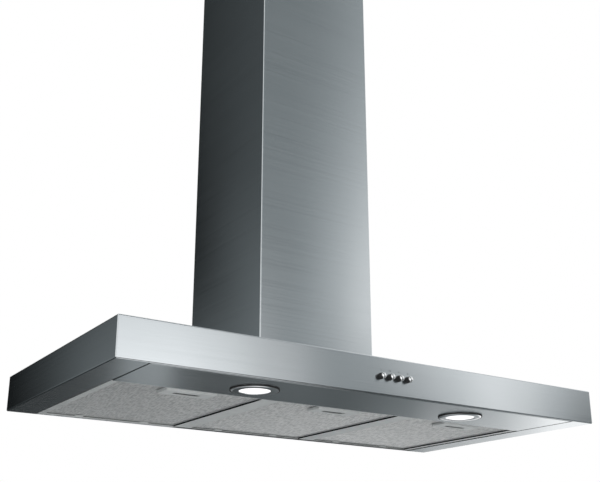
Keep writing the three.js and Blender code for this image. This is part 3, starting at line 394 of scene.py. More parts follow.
# %% Glass, plastics and rubber
def moulded(name, dark, light, roughness, size=900.0):
    """Moulded plastic: an even colour with a fine spark-eroded texture."""
    material, tree, shader = new_material(name)
    grain = stretched_noise(tree, (1, 1, 1), size, 4.0)
    cloud = stretched_noise(tree, (1, 1, 1), 14.0, 3.0)
    tree.links.new(tint(tree, cloud, dark, light), shader.inputs["Base Color"])
    tree.links.new(spread(tree, grain, roughness - 0.06, roughness + 0.06), shader.inputs["Roughness"])
    bump(tree, shader, grain, 0.15, 0.0001)
    return material


grey_plastic = moulded("plastic_grey", (0.15, 0.16, 0.165), (0.18, 0.19, 0.195), 0.48)
dark_plastic = moulded("plastic_dark", (0.022, 0.024, 0.026), (0.032, 0.034, 0.036), 0.42)
white_plastic = moulded("plastic_white", (0.66, 0.66, 0.64), (0.72, 0.72, 0.70), 0.45)
rubber = moulded("rubber_black", (0.012, 0.012, 0.012), (0.022, 0.022, 0.022), 0.7, 500.0)


def frosted_glass():
    """The lamp is lit in the picture's way: a white lens that glows softly and still looks solid."""
    material, tree, shader = new_material("glass_frosted")
    grain = stretched_noise(tree, (1, 1, 1), 2500.0, 3.0)
    cloud = stretched_noise(tree, (1, 1, 1), 60.0, 2.0)
    tree.links.new(tint(tree, cloud, (0.90, 0.91, 0.91), (0.96, 0.96, 0.96)), shader.inputs["Base Color"])
    tree.links.new(spread(tree, grain, 0.22, 0.34), shader.inputs["Roughness"])
    shader.inputs["Emission Color"].default_value = (1, 1, 1, 1)
    shader.inputs["Emission Strength"].default_value = 0.55
    bump(tree, shader, grain, 0.12, 0.0001)
    return material


def clear_glass():
    material, tree, shader = new_material("glass_clear")
    cloud = stretched_noise(tree, (1, 1, 1), 300.0, 2.0)
    tree.links.new(tint(tree, cloud, (0.95, 0.95, 0.95), (1, 1, 1)), shader.inputs["Base Color"])
    tree.links.new(spread(tree, cloud, 0.02, 0.06), shader.inputs["Roughness"])
    shader.inputs["Transmission Weight"].default_value = 0.9
    bump(tree, shader, cloud, 0.03, 0.0001)
    return material


frosted = frosted_glass()
clear = clear_glass()

# %% [markdown]
# The hidden machinery keeps its shapes. Each node takes the finish that its slot in the record names.

# %% Finishes for the frame's own nodes
finish_of_slot = {
    "stainless": upright_steel,
    "galvanised": galvanised,
    "aluminium": aluminium,
    "chrome": chrome,
    "steel": turned_steel_and_latch_shade,
    "frosted_glass": frosted,
    "clear_glass": clear,
    "grey_plastic": grey_plastic,
    "dark_plastic": dark_plastic,
    "white_plastic": white_plastic,
    "black_rubber": rubber,
}
for entry in frame["record"]["subparts"]:
    mesh = nodes[entry["node"]].data
    mesh.materials.clear()
    mesh.materials.append(finish_of_slot[entry["material_slot"]])
print("finishes on", len(nodes), "nodes")

# %% [markdown]
# The canopy is one sheet of steel folded into a box. The folds are what makes it read as sheet metal:
# a small radius on each outer edge that catches a line of light. We start from a block, open its back
# and its bottom, turn the edges of the bottom up, round the folds, and give the skin its thickness.

# %% Sizes of the canopy
HALF_WIDTH, FRONT, UNDERSIDE, TOP = 0.450, -0.450, -0.300, -0.242
SHEET, SEAT = 0.001, 0.0003
# Faces this far or more above a sheet's bottom face take the near-black steel: painted shade.
PAINTED_SHADE_RISE = 0.0008
BAY_HALF, LIP = 0.402, 0.003
FLANGE, LIP_FLANGE = 0.016, 0.008
FOLD = 0.002

# %% Fold the canopy
canopy = block("canopy_folded", (-HALF_WIDTH, FRONT, UNDERSIDE), (HALF_WIDTH, 0, TOP))
edit(canopy, "face", lambda c, n: n.y > 0.9)
bpy.ops.mesh.delete(type="FACE")
done()
for plane, normal in (
    ((BAY_HALF, 0, 0), (1, 0, 0)),
    ((-BAY_HALF, 0, 0), (1, 0, 0)),
    ((0, FRONT + LIP, 0), (0, 1, 0)),
):
    edit(canopy, "face", lambda c, n: n.z < -0.9)
    bpy.ops.mesh.bisect(plane_co=plane, plane_no=normal)
    done()
edit(canopy, "face", lambda c, n: n.z < -0.9 and abs(c.x) < BAY_HALF and c.y > FRONT + LIP)
bpy.ops.mesh.delete(type="FACE")
done()


def outer_fold(c, d):
    at_side, at_front = near(abs(c.x), HALF_WIDTH), near(c.y, FRONT)
    at_level = near(c.z, TOP) or near(c.z, UNDERSIDE)
    return (at_side and at_front) or (at_side and at_level) or (at_front and at_level)


edit(canopy, "edge", outer_fold)
bpy.ops.mesh.bevel(offset=FOLD, offset_type="OFFSET", segments=5, affect="EDGES")
done()
for side in (-1, 1):
    edit(canopy, "edge", lambda c, d: near(c.x, side * BAY_HALF) and near(c.z, UNDERSIDE)
         and c.y > FRONT + LIP)
    bpy.ops.mesh.extrude_edges_move(TRANSFORM_OT_translate={"value": (0, 0, FLANGE)})
    done()
edit(canopy, "edge", lambda c, d: near(c.y, FRONT + LIP) and near(c.z, UNDERSIDE) and abs(c.x) < BAY_HALF)
bpy.ops.mesh.extrude_edges_move(TRANSFORM_OT_translate={"value": (0, 0, LIP_FLANGE)})
done()
print("canopy folded:", len(canopy.data.polygons), "faces")

# %% [markdown]
# Folding is done. Solidify turns the skin into 1 mm sheet, growing inwards so that the outer size
# stays. The openings are punched last, as a press would: the air way and the cable hole in the top,
# two screw holes for the chimney's foot and four holes for the buttons. The turned-up edges round the
# bay take the near-black steel, painted shade, so that the seam beside them reads as a dark line.

# %% Give the canopy its thickness and punch it
BUTTON_PITCH, BUTTON_Z = 0.0174, -0.272
BUTTON_XS = [(i - 1.5) * BUTTON_PITCH for i in range(4)]
AIR_WAY_HALF, AIR_WAY_Y, AIR_WAY_CORNER = 0.094, (-0.221, -0.004), 0.012
CABLE_HOLE = (0.070, -0.237)
FOOT_SCREW_XS, FOOT_SCREW_Y, SCREW_HOLE = (-0.113, 0.113), -0.1245, 0.0022

modify(canopy, "SOLIDIFY", thickness=SHEET, offset=-1, use_even_offset=True)
air_way = block(
    "air_way", (-AIR_WAY_HALF, AIR_WAY_Y[0], TOP - 0.008), (AIR_WAY_HALF, AIR_WAY_Y[1], TOP + 0.007),
)
edit(air_way, "edge", lambda c, d: abs(d.z) > 0.9)
bpy.ops.mesh.bevel(offset=AIR_WAY_CORNER, segments=8, affect="EDGES")
done()
punches = [air_way, rod("cable_hole", (*CABLE_HOLE, TOP), 0.006, 0.01)]
punches += [rod("screw_hole", (x, FOOT_SCREW_Y, TOP), SCREW_HOLE, 0.01, sides=24) for x in FOOT_SCREW_XS]
punches += [rod("button_hole", (x, FRONT, BUTTON_Z), 0.005, 0.01, "Y", 40) for x in BUTTON_XS]
cut_away(canopy, *punches)
smooth(canopy)
place(canopy, "hood", "stainless", [upright_steel, under_steel, painted_shade_steel], "canopy_shell")
for face in canopy.data.polygons:
    at = middle(canopy.data, face)
    face.material_index = 1 if abs(face.normal.z) > 0.8 else 0
    # The flanges turned up round the bay take the near-black steel: painted shade in the seam.
    in_bay = abs(at.x) < BAY_HALF + 0.0011 and at.y > FRONT + 0.002
    if UNDERSIDE + 0.0005 < at.z < UNDERSIDE + 0.015 and in_bay:
        face.material_index = 2

# %% [markdown]
# The underside is made of two flat pieces. The front strip carries the lamps. Behind it a recessed
# frame carries the filters. Both are sheets whose rims are turned up, with a tight fold.

# %% Turn up a rim
def turn_up(piece, height, wanted):
    """Extrudes the chosen border edges upwards."""
    edit(piece, "edge", wanted)
    bpy.ops.mesh.extrude_edges_move(TRANSFORM_OT_translate={"value": (0, 0, height)})
    done()


def round_folds(piece, radius, wanted, segments=3):
    edit(piece, "edge", wanted)
    bpy.ops.mesh.bevel(offset=radius, segments=segments, affect="EDGES")
    done()


def at_border(x, y):
    return lambda c, d: near(abs(c.x), x) or near(c.y, y[0]) or near(c.y, y[1])

# %% [markdown]
# The lamp panel fills the bay's front. Its seam is drawn 3 mm wide, where the frame's own is 1.2 mm,
# and its rims and top side take the near-black steel: painted shade in the seam.

# %% Lamp panel
LAMP_XS, LAMP_Y = (-0.202, 0.202), -0.376
LAMP_HOLE = 0.034
SEAM, PANEL_RIM = 0.0030, 0.012
panel_x, panel_y = BAY_HALF - SEAM, (FRONT + LIP + SEAM, FRONT + 0.131)

panel = flat_sheet("lamp_panel_folded", (-panel_x, panel_x), panel_y, UNDERSIDE)
turn_up(panel, PANEL_RIM, at_border(panel_x, panel_y))
round_folds(panel, 0.0009, lambda c, d: near(c.z, UNDERSIDE))
modify(panel, "SOLIDIFY", thickness=SHEET, offset=-1, use_even_offset=True)
cut_away(panel, *[rod("lamp_hole", (x, LAMP_Y, UNDERSIDE), LAMP_HOLE, 0.006, sides=96) for x in LAMP_XS])
smooth(panel)
place(panel, "hood", "stainless", [under_steel, painted_shade_steel], "lamp_panel")
# The rims and the top side take the near-black steel: painted shade.
for face in panel.data.polygons:
    face.material_index = 1 if middle(panel.data, face).z > UNDERSIDE + PAINTED_SHADE_RISE else 0

# %% [markdown]
# The support frame lies a millimetre higher. We cut the sheet along the three openings' edges, delete
# what is inside them and turn their long sides up.

# %% Filter support frame
FILTER_XS = (-0.2695, 0.0, 0.2695)
LEDGE_Z = UNDERSIDE + 0.001
OPENING_HALF, OPENING_Y = 0.119, (-0.313, -0.007)
SUPPORT_GAP, SUPPORT_RIM, OPENING_RIM = 0.0025, 0.010, 0.008
support_x, support_y = BAY_HALF - SUPPORT_GAP, (panel_y[1] + SEAT, -SHEET - SEAT)

support = flat_sheet("filter_support_folded", (-support_x, support_x), support_y, LEDGE_Z)
for x in (f + side * OPENING_HALF for f in FILTER_XS for side in (-1, 1)):
    edit(support, "face", lambda c, n: True)
    bpy.ops.mesh.bisect(plane_co=(x, 0, 0), plane_no=(1, 0, 0))
    done()
for y in OPENING_Y:
    edit(support, "face", lambda c, n: True)
    bpy.ops.mesh.bisect(plane_co=(0, y, 0), plane_no=(0, 1, 0))
    done()


def in_opening(c, n):
    return OPENING_Y[0] < c.y < OPENING_Y[1] and any(abs(c.x - f) < OPENING_HALF for f in FILTER_XS)


edit(support, "face", in_opening)
bpy.ops.mesh.delete(type="FACE")
done()
turn_up(support, SUPPORT_RIM, at_border(support_x, support_y))
for f in FILTER_XS:
    for side in (-1, 1):
        turn_up(support, OPENING_RIM, lambda c, d: near(c.x, f + side * OPENING_HALF)
                and OPENING_Y[0] < c.y < OPENING_Y[1] and near(c.z, LEDGE_Z))
modify(support, "SOLIDIFY", thickness=SHEET, offset=-1, use_even_offset=True)
smooth(support)
place(support, "hood", "stainless", [aluminium, painted_shade_steel], "filter_support_frame")
# Rims, and the rear border right of x = -0.2, take the near-black steel: painted shade for the seams and the
# dark line along the filters' rear.
for face in support.data.polygons:
    at = middle(support.data, face)
    painted_shade_rear = at.y > OPENING_Y[1] and at.x > -0.2
    face.material_index = 1 if at.z > LEDGE_Z + PAINTED_SHADE_RISE or painted_shade_rear else 0

# %% [markdown]
# The chimney is a tall U of sheet: a front with a rounded fold at each side, and a narrow flange
# turned in along the wall. The upper section is the same shape a size smaller and slides inside.

# %% Fold a chimney section
WALL_FLANGE = 0.010


def chimney_section(name, half, front, rear, low, high):
    section = block(name, (-half, front, low), (half, rear, high))
    edit(section, "face", lambda c, n: abs(n.z) > 0.9 or n.y > 0.9)
    bpy.ops.mesh.delete(type="FACE")
    done()
    for side in (-1, 1):
        edit(section, "edge", lambda c, d: near(c.y, rear) and near(c.x, side * half) and abs(d.z) > 0.9)
        bpy.ops.mesh.extrude_edges_move(TRANSFORM_OT_translate={"value": (-side * WALL_FLANGE, 0, 0)})
        done()
    round_folds(section, FOLD, lambda c, d: near(c.y, front) and near(abs(c.x), half) and abs(d.z) > 0.9, 6)
    return section


CHIMNEY_HALF, CHIMNEY_FRONT = 0.118, -0.249
LOWER_Z, UPPER_Z = (-0.2417, 0.6583), (-0.0717, 0.6883)
INSET = 0.0018
FOOT_TAB, FOOT_TAB_Y = 0.009, (-0.219, -0.030)

lower = chimney_section("chimney_lower_folded", CHIMNEY_HALF, CHIMNEY_FRONT, 0, *LOWER_Z)
for y in FOOT_TAB_Y:
    edit(lower, "face", lambda c, n: abs(n.x) > 0.9)
    bpy.ops.mesh.bisect(plane_co=(0, y, 0), plane_no=(0, 1, 0))
    done()
for side in (-1, 1):
    edit(lower, "edge", lambda c, d: near(c.z, LOWER_Z[0]) and near(c.x, side * CHIMNEY_HALF)
         and FOOT_TAB_Y[0] < c.y < FOOT_TAB_Y[1])
    bpy.ops.mesh.extrude_edges_move(TRANSFORM_OT_translate={"value": (-side * FOOT_TAB, 0, 0)})
    done()
modify(lower, "SOLIDIFY", thickness=SHEET, offset=-1, use_even_offset=True)
cut_away(lower, *[
    rod("screw_hole", (x, FOOT_SCREW_Y, LOWER_Z[0]), SCREW_HOLE, 0.006, sides=24) for x in FOOT_SCREW_XS
])
smooth(lower)
place(lower, "hood", "stainless", upright_steel, "chimney_lower")

upper = chimney_section(
    "chimney_upper_folded", CHIMNEY_HALF - INSET, CHIMNEY_FRONT + INSET, -INSET, *UPPER_Z,
)
modify(upper, "SOLIDIFY", thickness=SHEET, offset=-1, use_even_offset=True)
BRACKET_HOLE = (-0.018, 0.6663)
cut_away(upper, rod("bracket_hole", (0, *BRACKET_HOLE), SCREW_HOLE, 0.3, "X", 24))
smooth(upper)
place(upper, "telescope", "stainless", upright_steel, "chimney_upper")

# %% [markdown]
# Each lamp is a chrome ring around a frosted lens. The ring bulges downwards, so its near side shows
# its outer slope and its far side only a thin line. Both are turned on the same centre. The ring's outer
# wall, where it meets the panel, takes black rubber: painted shade, a thin dark line round the ring.

# %% Lamps
# Beyond this radius the ring's faces take black rubber: painted shade.
PAINTED_SHADE_RADIUS = 0.0353
ring_profile = [
    (0.0233, -0.0021), (0.0236, -0.0025), (0.0243, -0.0028), (0.0262, -0.0028), (0.0290, -0.0028),
    (0.0320, -0.0028), (0.0335, -0.0026), (0.0346, -0.0022), (0.0352, -0.0018), (0.0369, -0.0017),
    (0.0370, -0.0003), (0.0330, -0.0003), (0.0330, 0.0010), (0.0315, 0.0010), (0.0315, 0.0002),
    (0.0233, 0.0002),
]
lens_profile = [
    (0.004, -0.00290), (0.010, -0.00287), (0.015, -0.00276), (0.0185, -0.00258), (0.0210, -0.0023),
    (0.0224, -0.0018), (0.0230, -0.0011), (0.0230, 0.0005), (0.0312, 0.0005), (0.0312, 0.0020),
]
for side, x in zip(("left", "right"), LAMP_XS):
    ring = turned(f"lamp_ring_{side}", (x, LAMP_Y, UNDERSIDE), ring_profile, sides=128, closed=True)
    smooth(ring, 40)
    place(ring, "hood", "chrome", [chrome, rubber], f"lamp_bezel_{side}")
    # The ring's outer wall takes the black rubber: painted shade.
    for face in ring.data.polygons:
        at = middle(ring.data, face)
        rim = math.hypot(at.x - x, at.y - LAMP_Y)
        face.material_index = 1 if rim > PAINTED_SHADE_RADIUS else 0
    lens = turned(f"lamp_lens_{side}", (x, LAMP_Y, UNDERSIDE), lens_profile, sides=96)
    smooth(lens, 40)
    place(lens, "hood", "frosted_glass", frosted, f"lamp_glass_{side}")

# %% [markdown]
# The push buttons are turned metal caps that stand almost a centimetre proud. Behind the fascia each
# has a shoulder that stops it and a stem that works its switch. Only the cap's face and its rounded
# edge are bright, and the shaft is black.

# %% Buttons
SHAFT_START = -0.4581
button_profile = [
    (0.0008, -0.45950), (0.0026, -0.45944), (0.0036, -0.45915), (0.0041, -0.4587), (0.0044, -0.4581),
    (0.0045, -0.4574), (0.0045, -0.4487), (0.0060, -0.4487), (0.0060, -0.4467), (0.0022, -0.4467),
    (0.0022, -0.4302),
]
for i, x in enumerate(BUTTON_XS, start=1):
    cap = turned(f"button_cap_{i}", (x, 0, BUTTON_Z), button_profile, "Y", 48)
    smooth(cap, 40)
    place(cap, f"push_button_{i}", "chrome", [chrome, rubber], f"button_{i}")
    for face in cap.data.polygons:
        face.material_index = 1 if middle(cap.data, face).y > SHAFT_START else 0

# %% [markdown]
# Over the buttons are small printed signs. They are too small to read in the picture, so we use plain
# strokes a tenth of a millimetre thick.

# %% Signs over the buttons
def stroke(x, z, tall=0.0026, wide=0.0007):
    bar = block("stroke", (x - wide / 2, FRONT - 0.0001, z - tall / 2), (x + wide / 2, FRONT, z + tall / 2))
    edit(bar, "edge", lambda c, d: abs(d.y) > 0.9)
    bpy.ops.mesh.bevel(offset=wide * 0.35, segments=3, affect="EDGES")
    done()
    return bar


SIGN_Z = BUTTON_Z + 0.0098
strokes = [stroke(BUTTON_XS[0] + 0.0006, SIGN_Z)]
strokes += [stroke(BUTTON_XS[1] - 0.0014, SIGN_Z + 0.0004, 0.0020, 0.0009)]
strokes += [stroke(BUTTON_XS[1] + 0.0012, SIGN_Z)]
strokes += [stroke(BUTTON_XS[2] + 0.0006, SIGN_Z), stroke(BUTTON_XS[3] + 0.0006, SIGN_Z)]
clear_selection()
for bar in strokes:
    bar.select_set(True)
bpy.context.view_layer.objects.active = strokes[0]
bpy.ops.object.join()
signs = bpy.context.object
signs.name = signs.data.name = "button_signs"
place(signs, "hood", "dark_plastic", dark_plastic)

# %% [markdown]
# A grease filter is a channel frame around layers of expanded aluminium. Expanded mesh is a sheet that
# was slit and pulled, so it is a net of diamonds. A grid turned by 45 degrees and squeezed gives that
# net, and the wireframe modifier makes each of its edges a real strand.

# %% Expanded mesh
FILTER_HALF, FILTER_Y = 0.1175, (-0.3115, -0.0085)
FILTER_Z = LEDGE_Z + 0.002
FILTER_RIM, MESH_INSET = 0.0035, 0.0012


def net(name, cell, z, strand):
    """A net of diamonds cell[0] wide and cell[1] long over the filter's window, at height z."""
    half_x, middle_y = FILTER_HALF - MESH_INSET, (FILTER_Y[0] + FILTER_Y[1]) / 2
    half_y = (FILTER_Y[1] - FILTER_Y[0]) / 2 - MESH_INSET
    count = 2 * math.ceil(half_x / cell[0] + half_y / cell[1]) + 2
    clear_selection()
    bpy.ops.mesh.primitive_grid_add(x_subdivisions=count, y_subdivisions=count, size=count)
    piece = bpy.context.object
    piece.name = piece.data.name = name
    edit(piece, "face", lambda c, n: True)
    bpy.ops.transform.rotate(value=math.radians(45), orient_axis="Z", center_override=(0, 0, 0))
    root = math.sqrt(2)
    bpy.ops.transform.resize(value=(cell[0] / root, cell[1] / root, 1), center_override=(0, 0, 0))
    for co, no in (
        ((half_x, 0, 0), (1, 0, 0)), ((-half_x, 0, 0), (-1, 0, 0)),
        ((0, half_y, 0), (0, 1, 0)), ((0, -half_y, 0), (0, -1, 0)),
    ):
        bpy.ops.mesh.select_all(action="SELECT")
        bpy.ops.mesh.bisect(plane_co=co, plane_no=no, clear_outer=True)
    done()
    modify(piece, "WIREFRAME", thickness=strand, use_replace=True, use_even_offset=False, use_boundary=True)
    piece.location = (0, middle_y, z)
    return settle(piece)


def filter_core():
    """Two nets of different size over a dense back layer."""
    front_net = net("front_net", (0.0058, 0.0040), FILTER_Z + 0.0017, 0.0010)
    back_net = net("back_net", (0.0100, 0.0062), FILTER_Z + 0.0036, 0.0010)
    back = block(
        "dense_layer",
        (-FILTER_HALF + MESH_INSET, FILTER_Y[0] + MESH_INSET, FILTER_Z + 0.0052),
        (FILTER_HALF - MESH_INSET, FILTER_Y[1] - MESH_INSET, FILTER_Z + 0.0068),
    )
    clear_selection()
    for layer in (front_net, back_net, back):
        layer.select_set(True)
    bpy.context.view_layer.objects.active = front_net
    bpy.ops.object.join()
    return bpy.context.object

# %% [markdown]
# The channel round the mesh is a rounded ring with its outer edge turned up and drawn in a little. A
# gate in its front lets the latch through, and two hooks at its rear are what the filter hangs on.

# %% Filter frame
CHANNEL_CORNER, CHANNEL_RISE, GATE_HALF = 0.003, 0.008, 0.0253


def inner_corner(c):
    """True on the inner outline of the bottom rim, which stays as it is."""
    inside = FILTER_RIM - 0.0003
    return abs(c.x) < FILTER_HALF - inside and FILTER_Y[0] + inside < c.y < FILTER_Y[1] - inside


def outer_rim(c):
    """True near the outline of the channel."""
    reach = 0.0031
    return abs(c.x) > FILTER_HALF - reach or not FILTER_Y[0] + reach < c.y < FILTER_Y[1] - reach


def filter_channel():
    ring = flat_sheet("filter_channel", (-FILTER_HALF, FILTER_HALF), FILTER_Y, FILTER_Z)
    edit(ring, "vertex", lambda c: True)
    bpy.ops.mesh.bevel(offset=CHANNEL_CORNER, segments=5, affect="VERTICES")
    bpy.ops.mesh.select_all(action="SELECT")
    bpy.ops.mesh.inset(thickness=FILTER_RIM)
    bpy.ops.mesh.delete(type="FACE")
    done()
    edit(ring, "edge", lambda c, d: outer_rim(c) and not inner_corner(c))
    bpy.ops.mesh.extrude_edges_move(TRANSFORM_OT_translate={"value": (0, 0, CHANNEL_RISE)})
    bpy.ops.mesh.extrude_edges_move(TRANSFORM_OT_translate={"value": (0, 0, 0)})
    centre = (0, (FILTER_Y[0] + FILTER_Y[1]) / 2, FILTER_Z)
    squeeze = (1 - FILTER_RIM / FILTER_HALF, 1 - 2 * FILTER_RIM / (FILTER_Y[1] - FILTER_Y[0]), 1)
    bpy.ops.transform.resize(value=squeeze, center_override=centre)
    done()
    modify(ring, "SOLIDIFY", thickness=0.0008, offset=-1, use_even_offset=True)
    gate = block(
        "latch_gate", (-GATE_HALF, -0.3125, FILTER_Z - 0.0015), (GATE_HALF, -0.3055, FILTER_Z + 0.0016),
    )
    cut_away(ring, gate)
    hooks = [block("hook", (x - 0.007, -0.0135, FILTER_Z - 0.0007), (x + 0.007, -0.003, FILTER_Z + 0.0003))
             for x in (-0.06, 0.06)]
    for hook in hooks:
        round_folds(hook, 0.0004, lambda c, d: True, 2)
    clear_selection()
    for part in (*hooks, ring):
        part.select_set(True)
    bpy.context.view_layer.objects.active = ring
    bpy.ops.object.join()
    smooth(ring)
    return ring


# %% [markdown]
# The handle is a pressed tray, and the latch is a plate that slides behind it. A fingertip reaches the
# latch's lip through the slot that both share.

# %% Handle and latch
HANDLE_Y, HANDLE_Z = (-0.3112, -0.2745), (FILTER_Z - 0.0040, FILTER_Z - 0.0003)
SLOT_HALF, SLOT_Y = 0.022, (-0.2952, -0.2852)


def finger_slot(low, high, corner=0.003):
    slot = block("slot", (-SLOT_HALF, SLOT_Y[0], low), (SLOT_HALF, SLOT_Y[1], high))
    edit(slot, "edge", lambda c, d: abs(d.z) > 0.9)
    bpy.ops.mesh.bevel(offset=corner, segments=6, affect="EDGES")
    done()
    return slot


def filter_grip():
    """A shallow tray pressed from one sheet, with soft shoulders and a slot for a fingertip."""
    tray = flat_sheet("filter_grip", (-0.043, 0.043), HANDLE_Y, HANDLE_Z[1])
    edit(tray, "vertex", lambda c: True)
    bpy.ops.mesh.bevel(offset=0.004, segments=6, affect="VERTICES")
    bpy.ops.mesh.select_all(action="SELECT")
    bpy.ops.mesh.inset(thickness=0.0012)
    bpy.ops.transform.translate(value=(0, 0, HANDLE_Z[0] - HANDLE_Z[1]))
    bpy.ops.mesh.region_to_loop()
    bpy.ops.mesh.bevel(offset=0.0011, segments=4, affect="EDGES")
    done()
    modify(tray, "SOLIDIFY", thickness=0.0009, offset=-1, use_even_offset=True)
    gate = block("gate", (-GATE_HALF, -0.3125, FILTER_Z - 0.0010), (GATE_HALF, -0.3085, FILTER_Z + 0.0005))
    cut_away(tray, finger_slot(FILTER_Z - 0.0055, FILTER_Z - 0.0020), gate)
    smooth(tray, 40)
    return tray


def filter_slider():
    plate = block("filter_slider", (-0.025, -0.3165, FILTER_Z - 0.0007), (0.025, -0.2832, FILTER_Z + 0.0013))
    round_folds(plate, 0.0006, lambda c, d: abs(d.z) < 0.1, 2)
    cut_away(plate, finger_slot(FILTER_Z - 0.002, FILTER_Z + 0.002, 0.002))
    lip = block("lip", (-0.0215, -0.2851, FILTER_Z - 0.0023), (0.0215, -0.2834, FILTER_Z + 0.0010))
    round_folds(lip, 0.0005, lambda c, d: c.z < FILTER_Z - 0.002 and abs(d.x) > 0.9, 3)
    clear_selection()
    lip.select_set(True)
    plate.select_set(True)
    bpy.context.view_layer.objects.active = plate
    bpy.ops.object.join()
    smooth(plate)
    return plate

# %% [markdown]
# The four patterns are made once, at the middle, and each filter gets copies of its own. The net nearest
# the eye takes the bright mesh metal, and what lies behind it a nearly black one: painted shade.

# %% Three filters
parts = {
    "frame": (filter_channel(), aluminium, "filter"),
    "mesh": (filter_core(), [mesh_metal, mesh_painted_shade], "filter"),
    "handle": (filter_grip(), aluminium, "filter"),
    # The latch takes the darker turned steel: painted shade, so the finger slot reads dark.
    "latch": (filter_slider(), turned_steel_and_latch_shade, "latch"),
}
for side, x in zip(("left", "middle", "right"), FILTER_XS):
    for kind, (pattern, finish, body) in parts.items():
        part = twin(pattern, f"{kind}_of_{side}_filter", (x, 0, 0))
        place(part, f"{body}_{side}", "aluminium", finish, f"filter_{kind}_{side}")
        if kind == "mesh":
            # The back net and the dense layer take the nearly black mesh metal: painted shade.
            for face in part.data.polygons:
                face.material_index = 1 if middle(part.data, face).z > FILTER_Z + 0.003 else 0
for pattern, finish, body in parts.values():
    bpy.data.objects.remove(pattern)

# %% [markdown]
# The studio is a pale floor far below and a white surround, which mirrors and glass show too.

# %% Floor and surround
FLOOR_Z = -1.85

clear_selection()
bpy.ops.mesh.primitive_plane_add(size=30, location=(0, 0, FLOOR_Z))
floor = bpy.context.object
floor.name = "floor"
floor_material, floor_tree, floor_shader = new_material("floor_pale")
floor_shader.inputs["Base Color"].default_value = (0.86, 0.86, 0.86, 1)
floor_shader.inputs["Roughness"].default_value = 0.9
floor.data.materials.append(floor_material)

world = bpy.data.worlds.new("surround")
bpy.context.scene.world = world
world.use_nodes = True
sky = world.node_tree
background = sky.nodes["Background"]
path = node(sky, "ShaderNodeLightPath").outputs
seen = node(sky, "ShaderNodeMath", {0: path["Is Camera Ray"], 1: path["Is Glossy Ray"]}, operation="MAXIMUM")
clearly = node(
    sky, "ShaderNodeMath", {0: seen.outputs[0], 1: path["Is Transmission Ray"]}, operation="MAXIMUM",
)
sky.links.new(spread(sky, clearly.outputs[0], 0.75, 1.0, 0, 1), background.inputs["Strength"])
background.inputs["Color"].default_value = (1, 1, 1, 1)

# %% [markdown]
# Steel shows what stands round it, so four large panels out of the camera's sight shape it. One stands
# in front, for the fascia and the chimney's front. A dark one stands at the left behind, for the side
# faces. One lies on the floor, for the mesh and the handles, and one stands low behind the hood, for
# the underside. Their stops were set until the steel's tones came near the picture's.

# %% Soft panels
PANEL_STRENGTH = 1.5


def soft_panel(name, low, high, rows):
    """A panel that lies flat, or faces along Y. Each row is a y or a height, and a list of
    (x, brightness) stops. Between two rows the panel fades from one to the other."""
    low, high = Vector(low), Vector(high)
    flat = low.z == high.z
    turn, side, rises = (0, high.y - low.y, "Y") if flat else (math.pi / 2, high.z - low.z, "Z")
    clear_selection()
    bpy.ops.mesh.primitive_plane_add(size=1, location=(low + high) / 2, rotation=(turn, 0, 0))
    panel = bpy.context.object
    panel.name = panel.data.name = name
    panel.scale = (high.x - low.x, side, 1)
    settle(panel)

    material = bpy.data.materials.new(name)
    material.use_nodes = True
    tree = material.node_tree
    tree.nodes.clear()
    where = node(tree, "ShaderNodeTexCoord")
    place_on = node(tree, "ShaderNodeSeparateXYZ", {"Vector": where.outputs["Object"]})
    along = spread(tree, place_on.outputs["X"], 0, 1, low.x, high.x)

    def shades(stops):
        ramp = node(tree, "ShaderNodeValToRGB", {"Fac": along})
        ramp.color_ramp.interpolation = "EASE"
        for _ in range(len(stops) - 2):
            ramp.color_ramp.elements.new(0.5)
        for stop, (x, value) in zip(ramp.color_ramp.elements, stops):
            stop.position = (x - low.x) / (high.x - low.x)
            cool = 1 - min(value, 1)
            shade = value / PANEL_STRENGTH
            stop.color = (shade * (1 - 0.12 * cool), shade, shade * (1 + 0.04 * cool), 1)
        return ramp.outputs["Color"]

    colour = shades(rows[0][1])
    for (lower_z, _), (upper_z, upper_stops) in zip(rows, rows[1:]):
        rise = spread(tree, place_on.outputs[rises], 0, 1, lower_z, upper_z)
        mix = node(tree, "ShaderNodeMix", data_type="RGBA")
        tree.links.new(rise, mix.inputs["Factor"])
        tree.links.new(colour, mix.inputs[6])
        tree.links.new(shades(upper_stops), mix.inputs[7])
        colour = mix.outputs[2]
    emission = node(tree, "ShaderNodeEmission", {"Color": colour}, Strength=PANEL_STRENGTH)
    node(tree, "ShaderNodeOutputMaterial", {"Surface": emission.outputs["Emission"]})
    panel.data.materials.append(material)
    panel.visible_camera = False
    panel.visible_diffuse = False
    panel.visible_shadow = False


soft_panel("front_panel", (-3.0, -3.0, -1.6), (7.0, -3.0, 9.0), [
    (-0.50, [(-2.0, 1.2), (0.30, 1.40), (0.85, 1.20), (1.20, 0.30), (1.50, 0.03), (5.0, 0.03)]),
    (0.30, [(-2.0, 1.2), (0.30, 1.40), (0.85, 1.62), (1.10, 1.45), (1.40, 0.98), (1.75, 0.45), (2.00, 0.31),
            (2.20, 0.33), (2.50, 0.66), (2.80, 1.18), (3.05, 1.02), (3.30, 0.57), (3.60, 0.12),
            (5.0, 0.12)]),
    (0.95, [(0.0, 0.40), (1.30, 0.23), (1.65, 0.25), (1.80, 0.32), (2.00, 0.60), (2.27, 1.15),
            (2.60, 1.30), (4.0, 0.8)]),
    (1.70, [(0.0, 0.38), (1.60, 0.27), (1.80, 0.29), (2.00, 0.41), (2.30, 0.74), (2.70, 0.90), (4.0, 0.6)]),
    (2.70, [(0.0, 0.28), (1.60, 0.22), (1.87, 0.22), (2.02, 0.27), (2.18, 0.36), (2.40, 0.48), (4.0, 0.4)]),
])
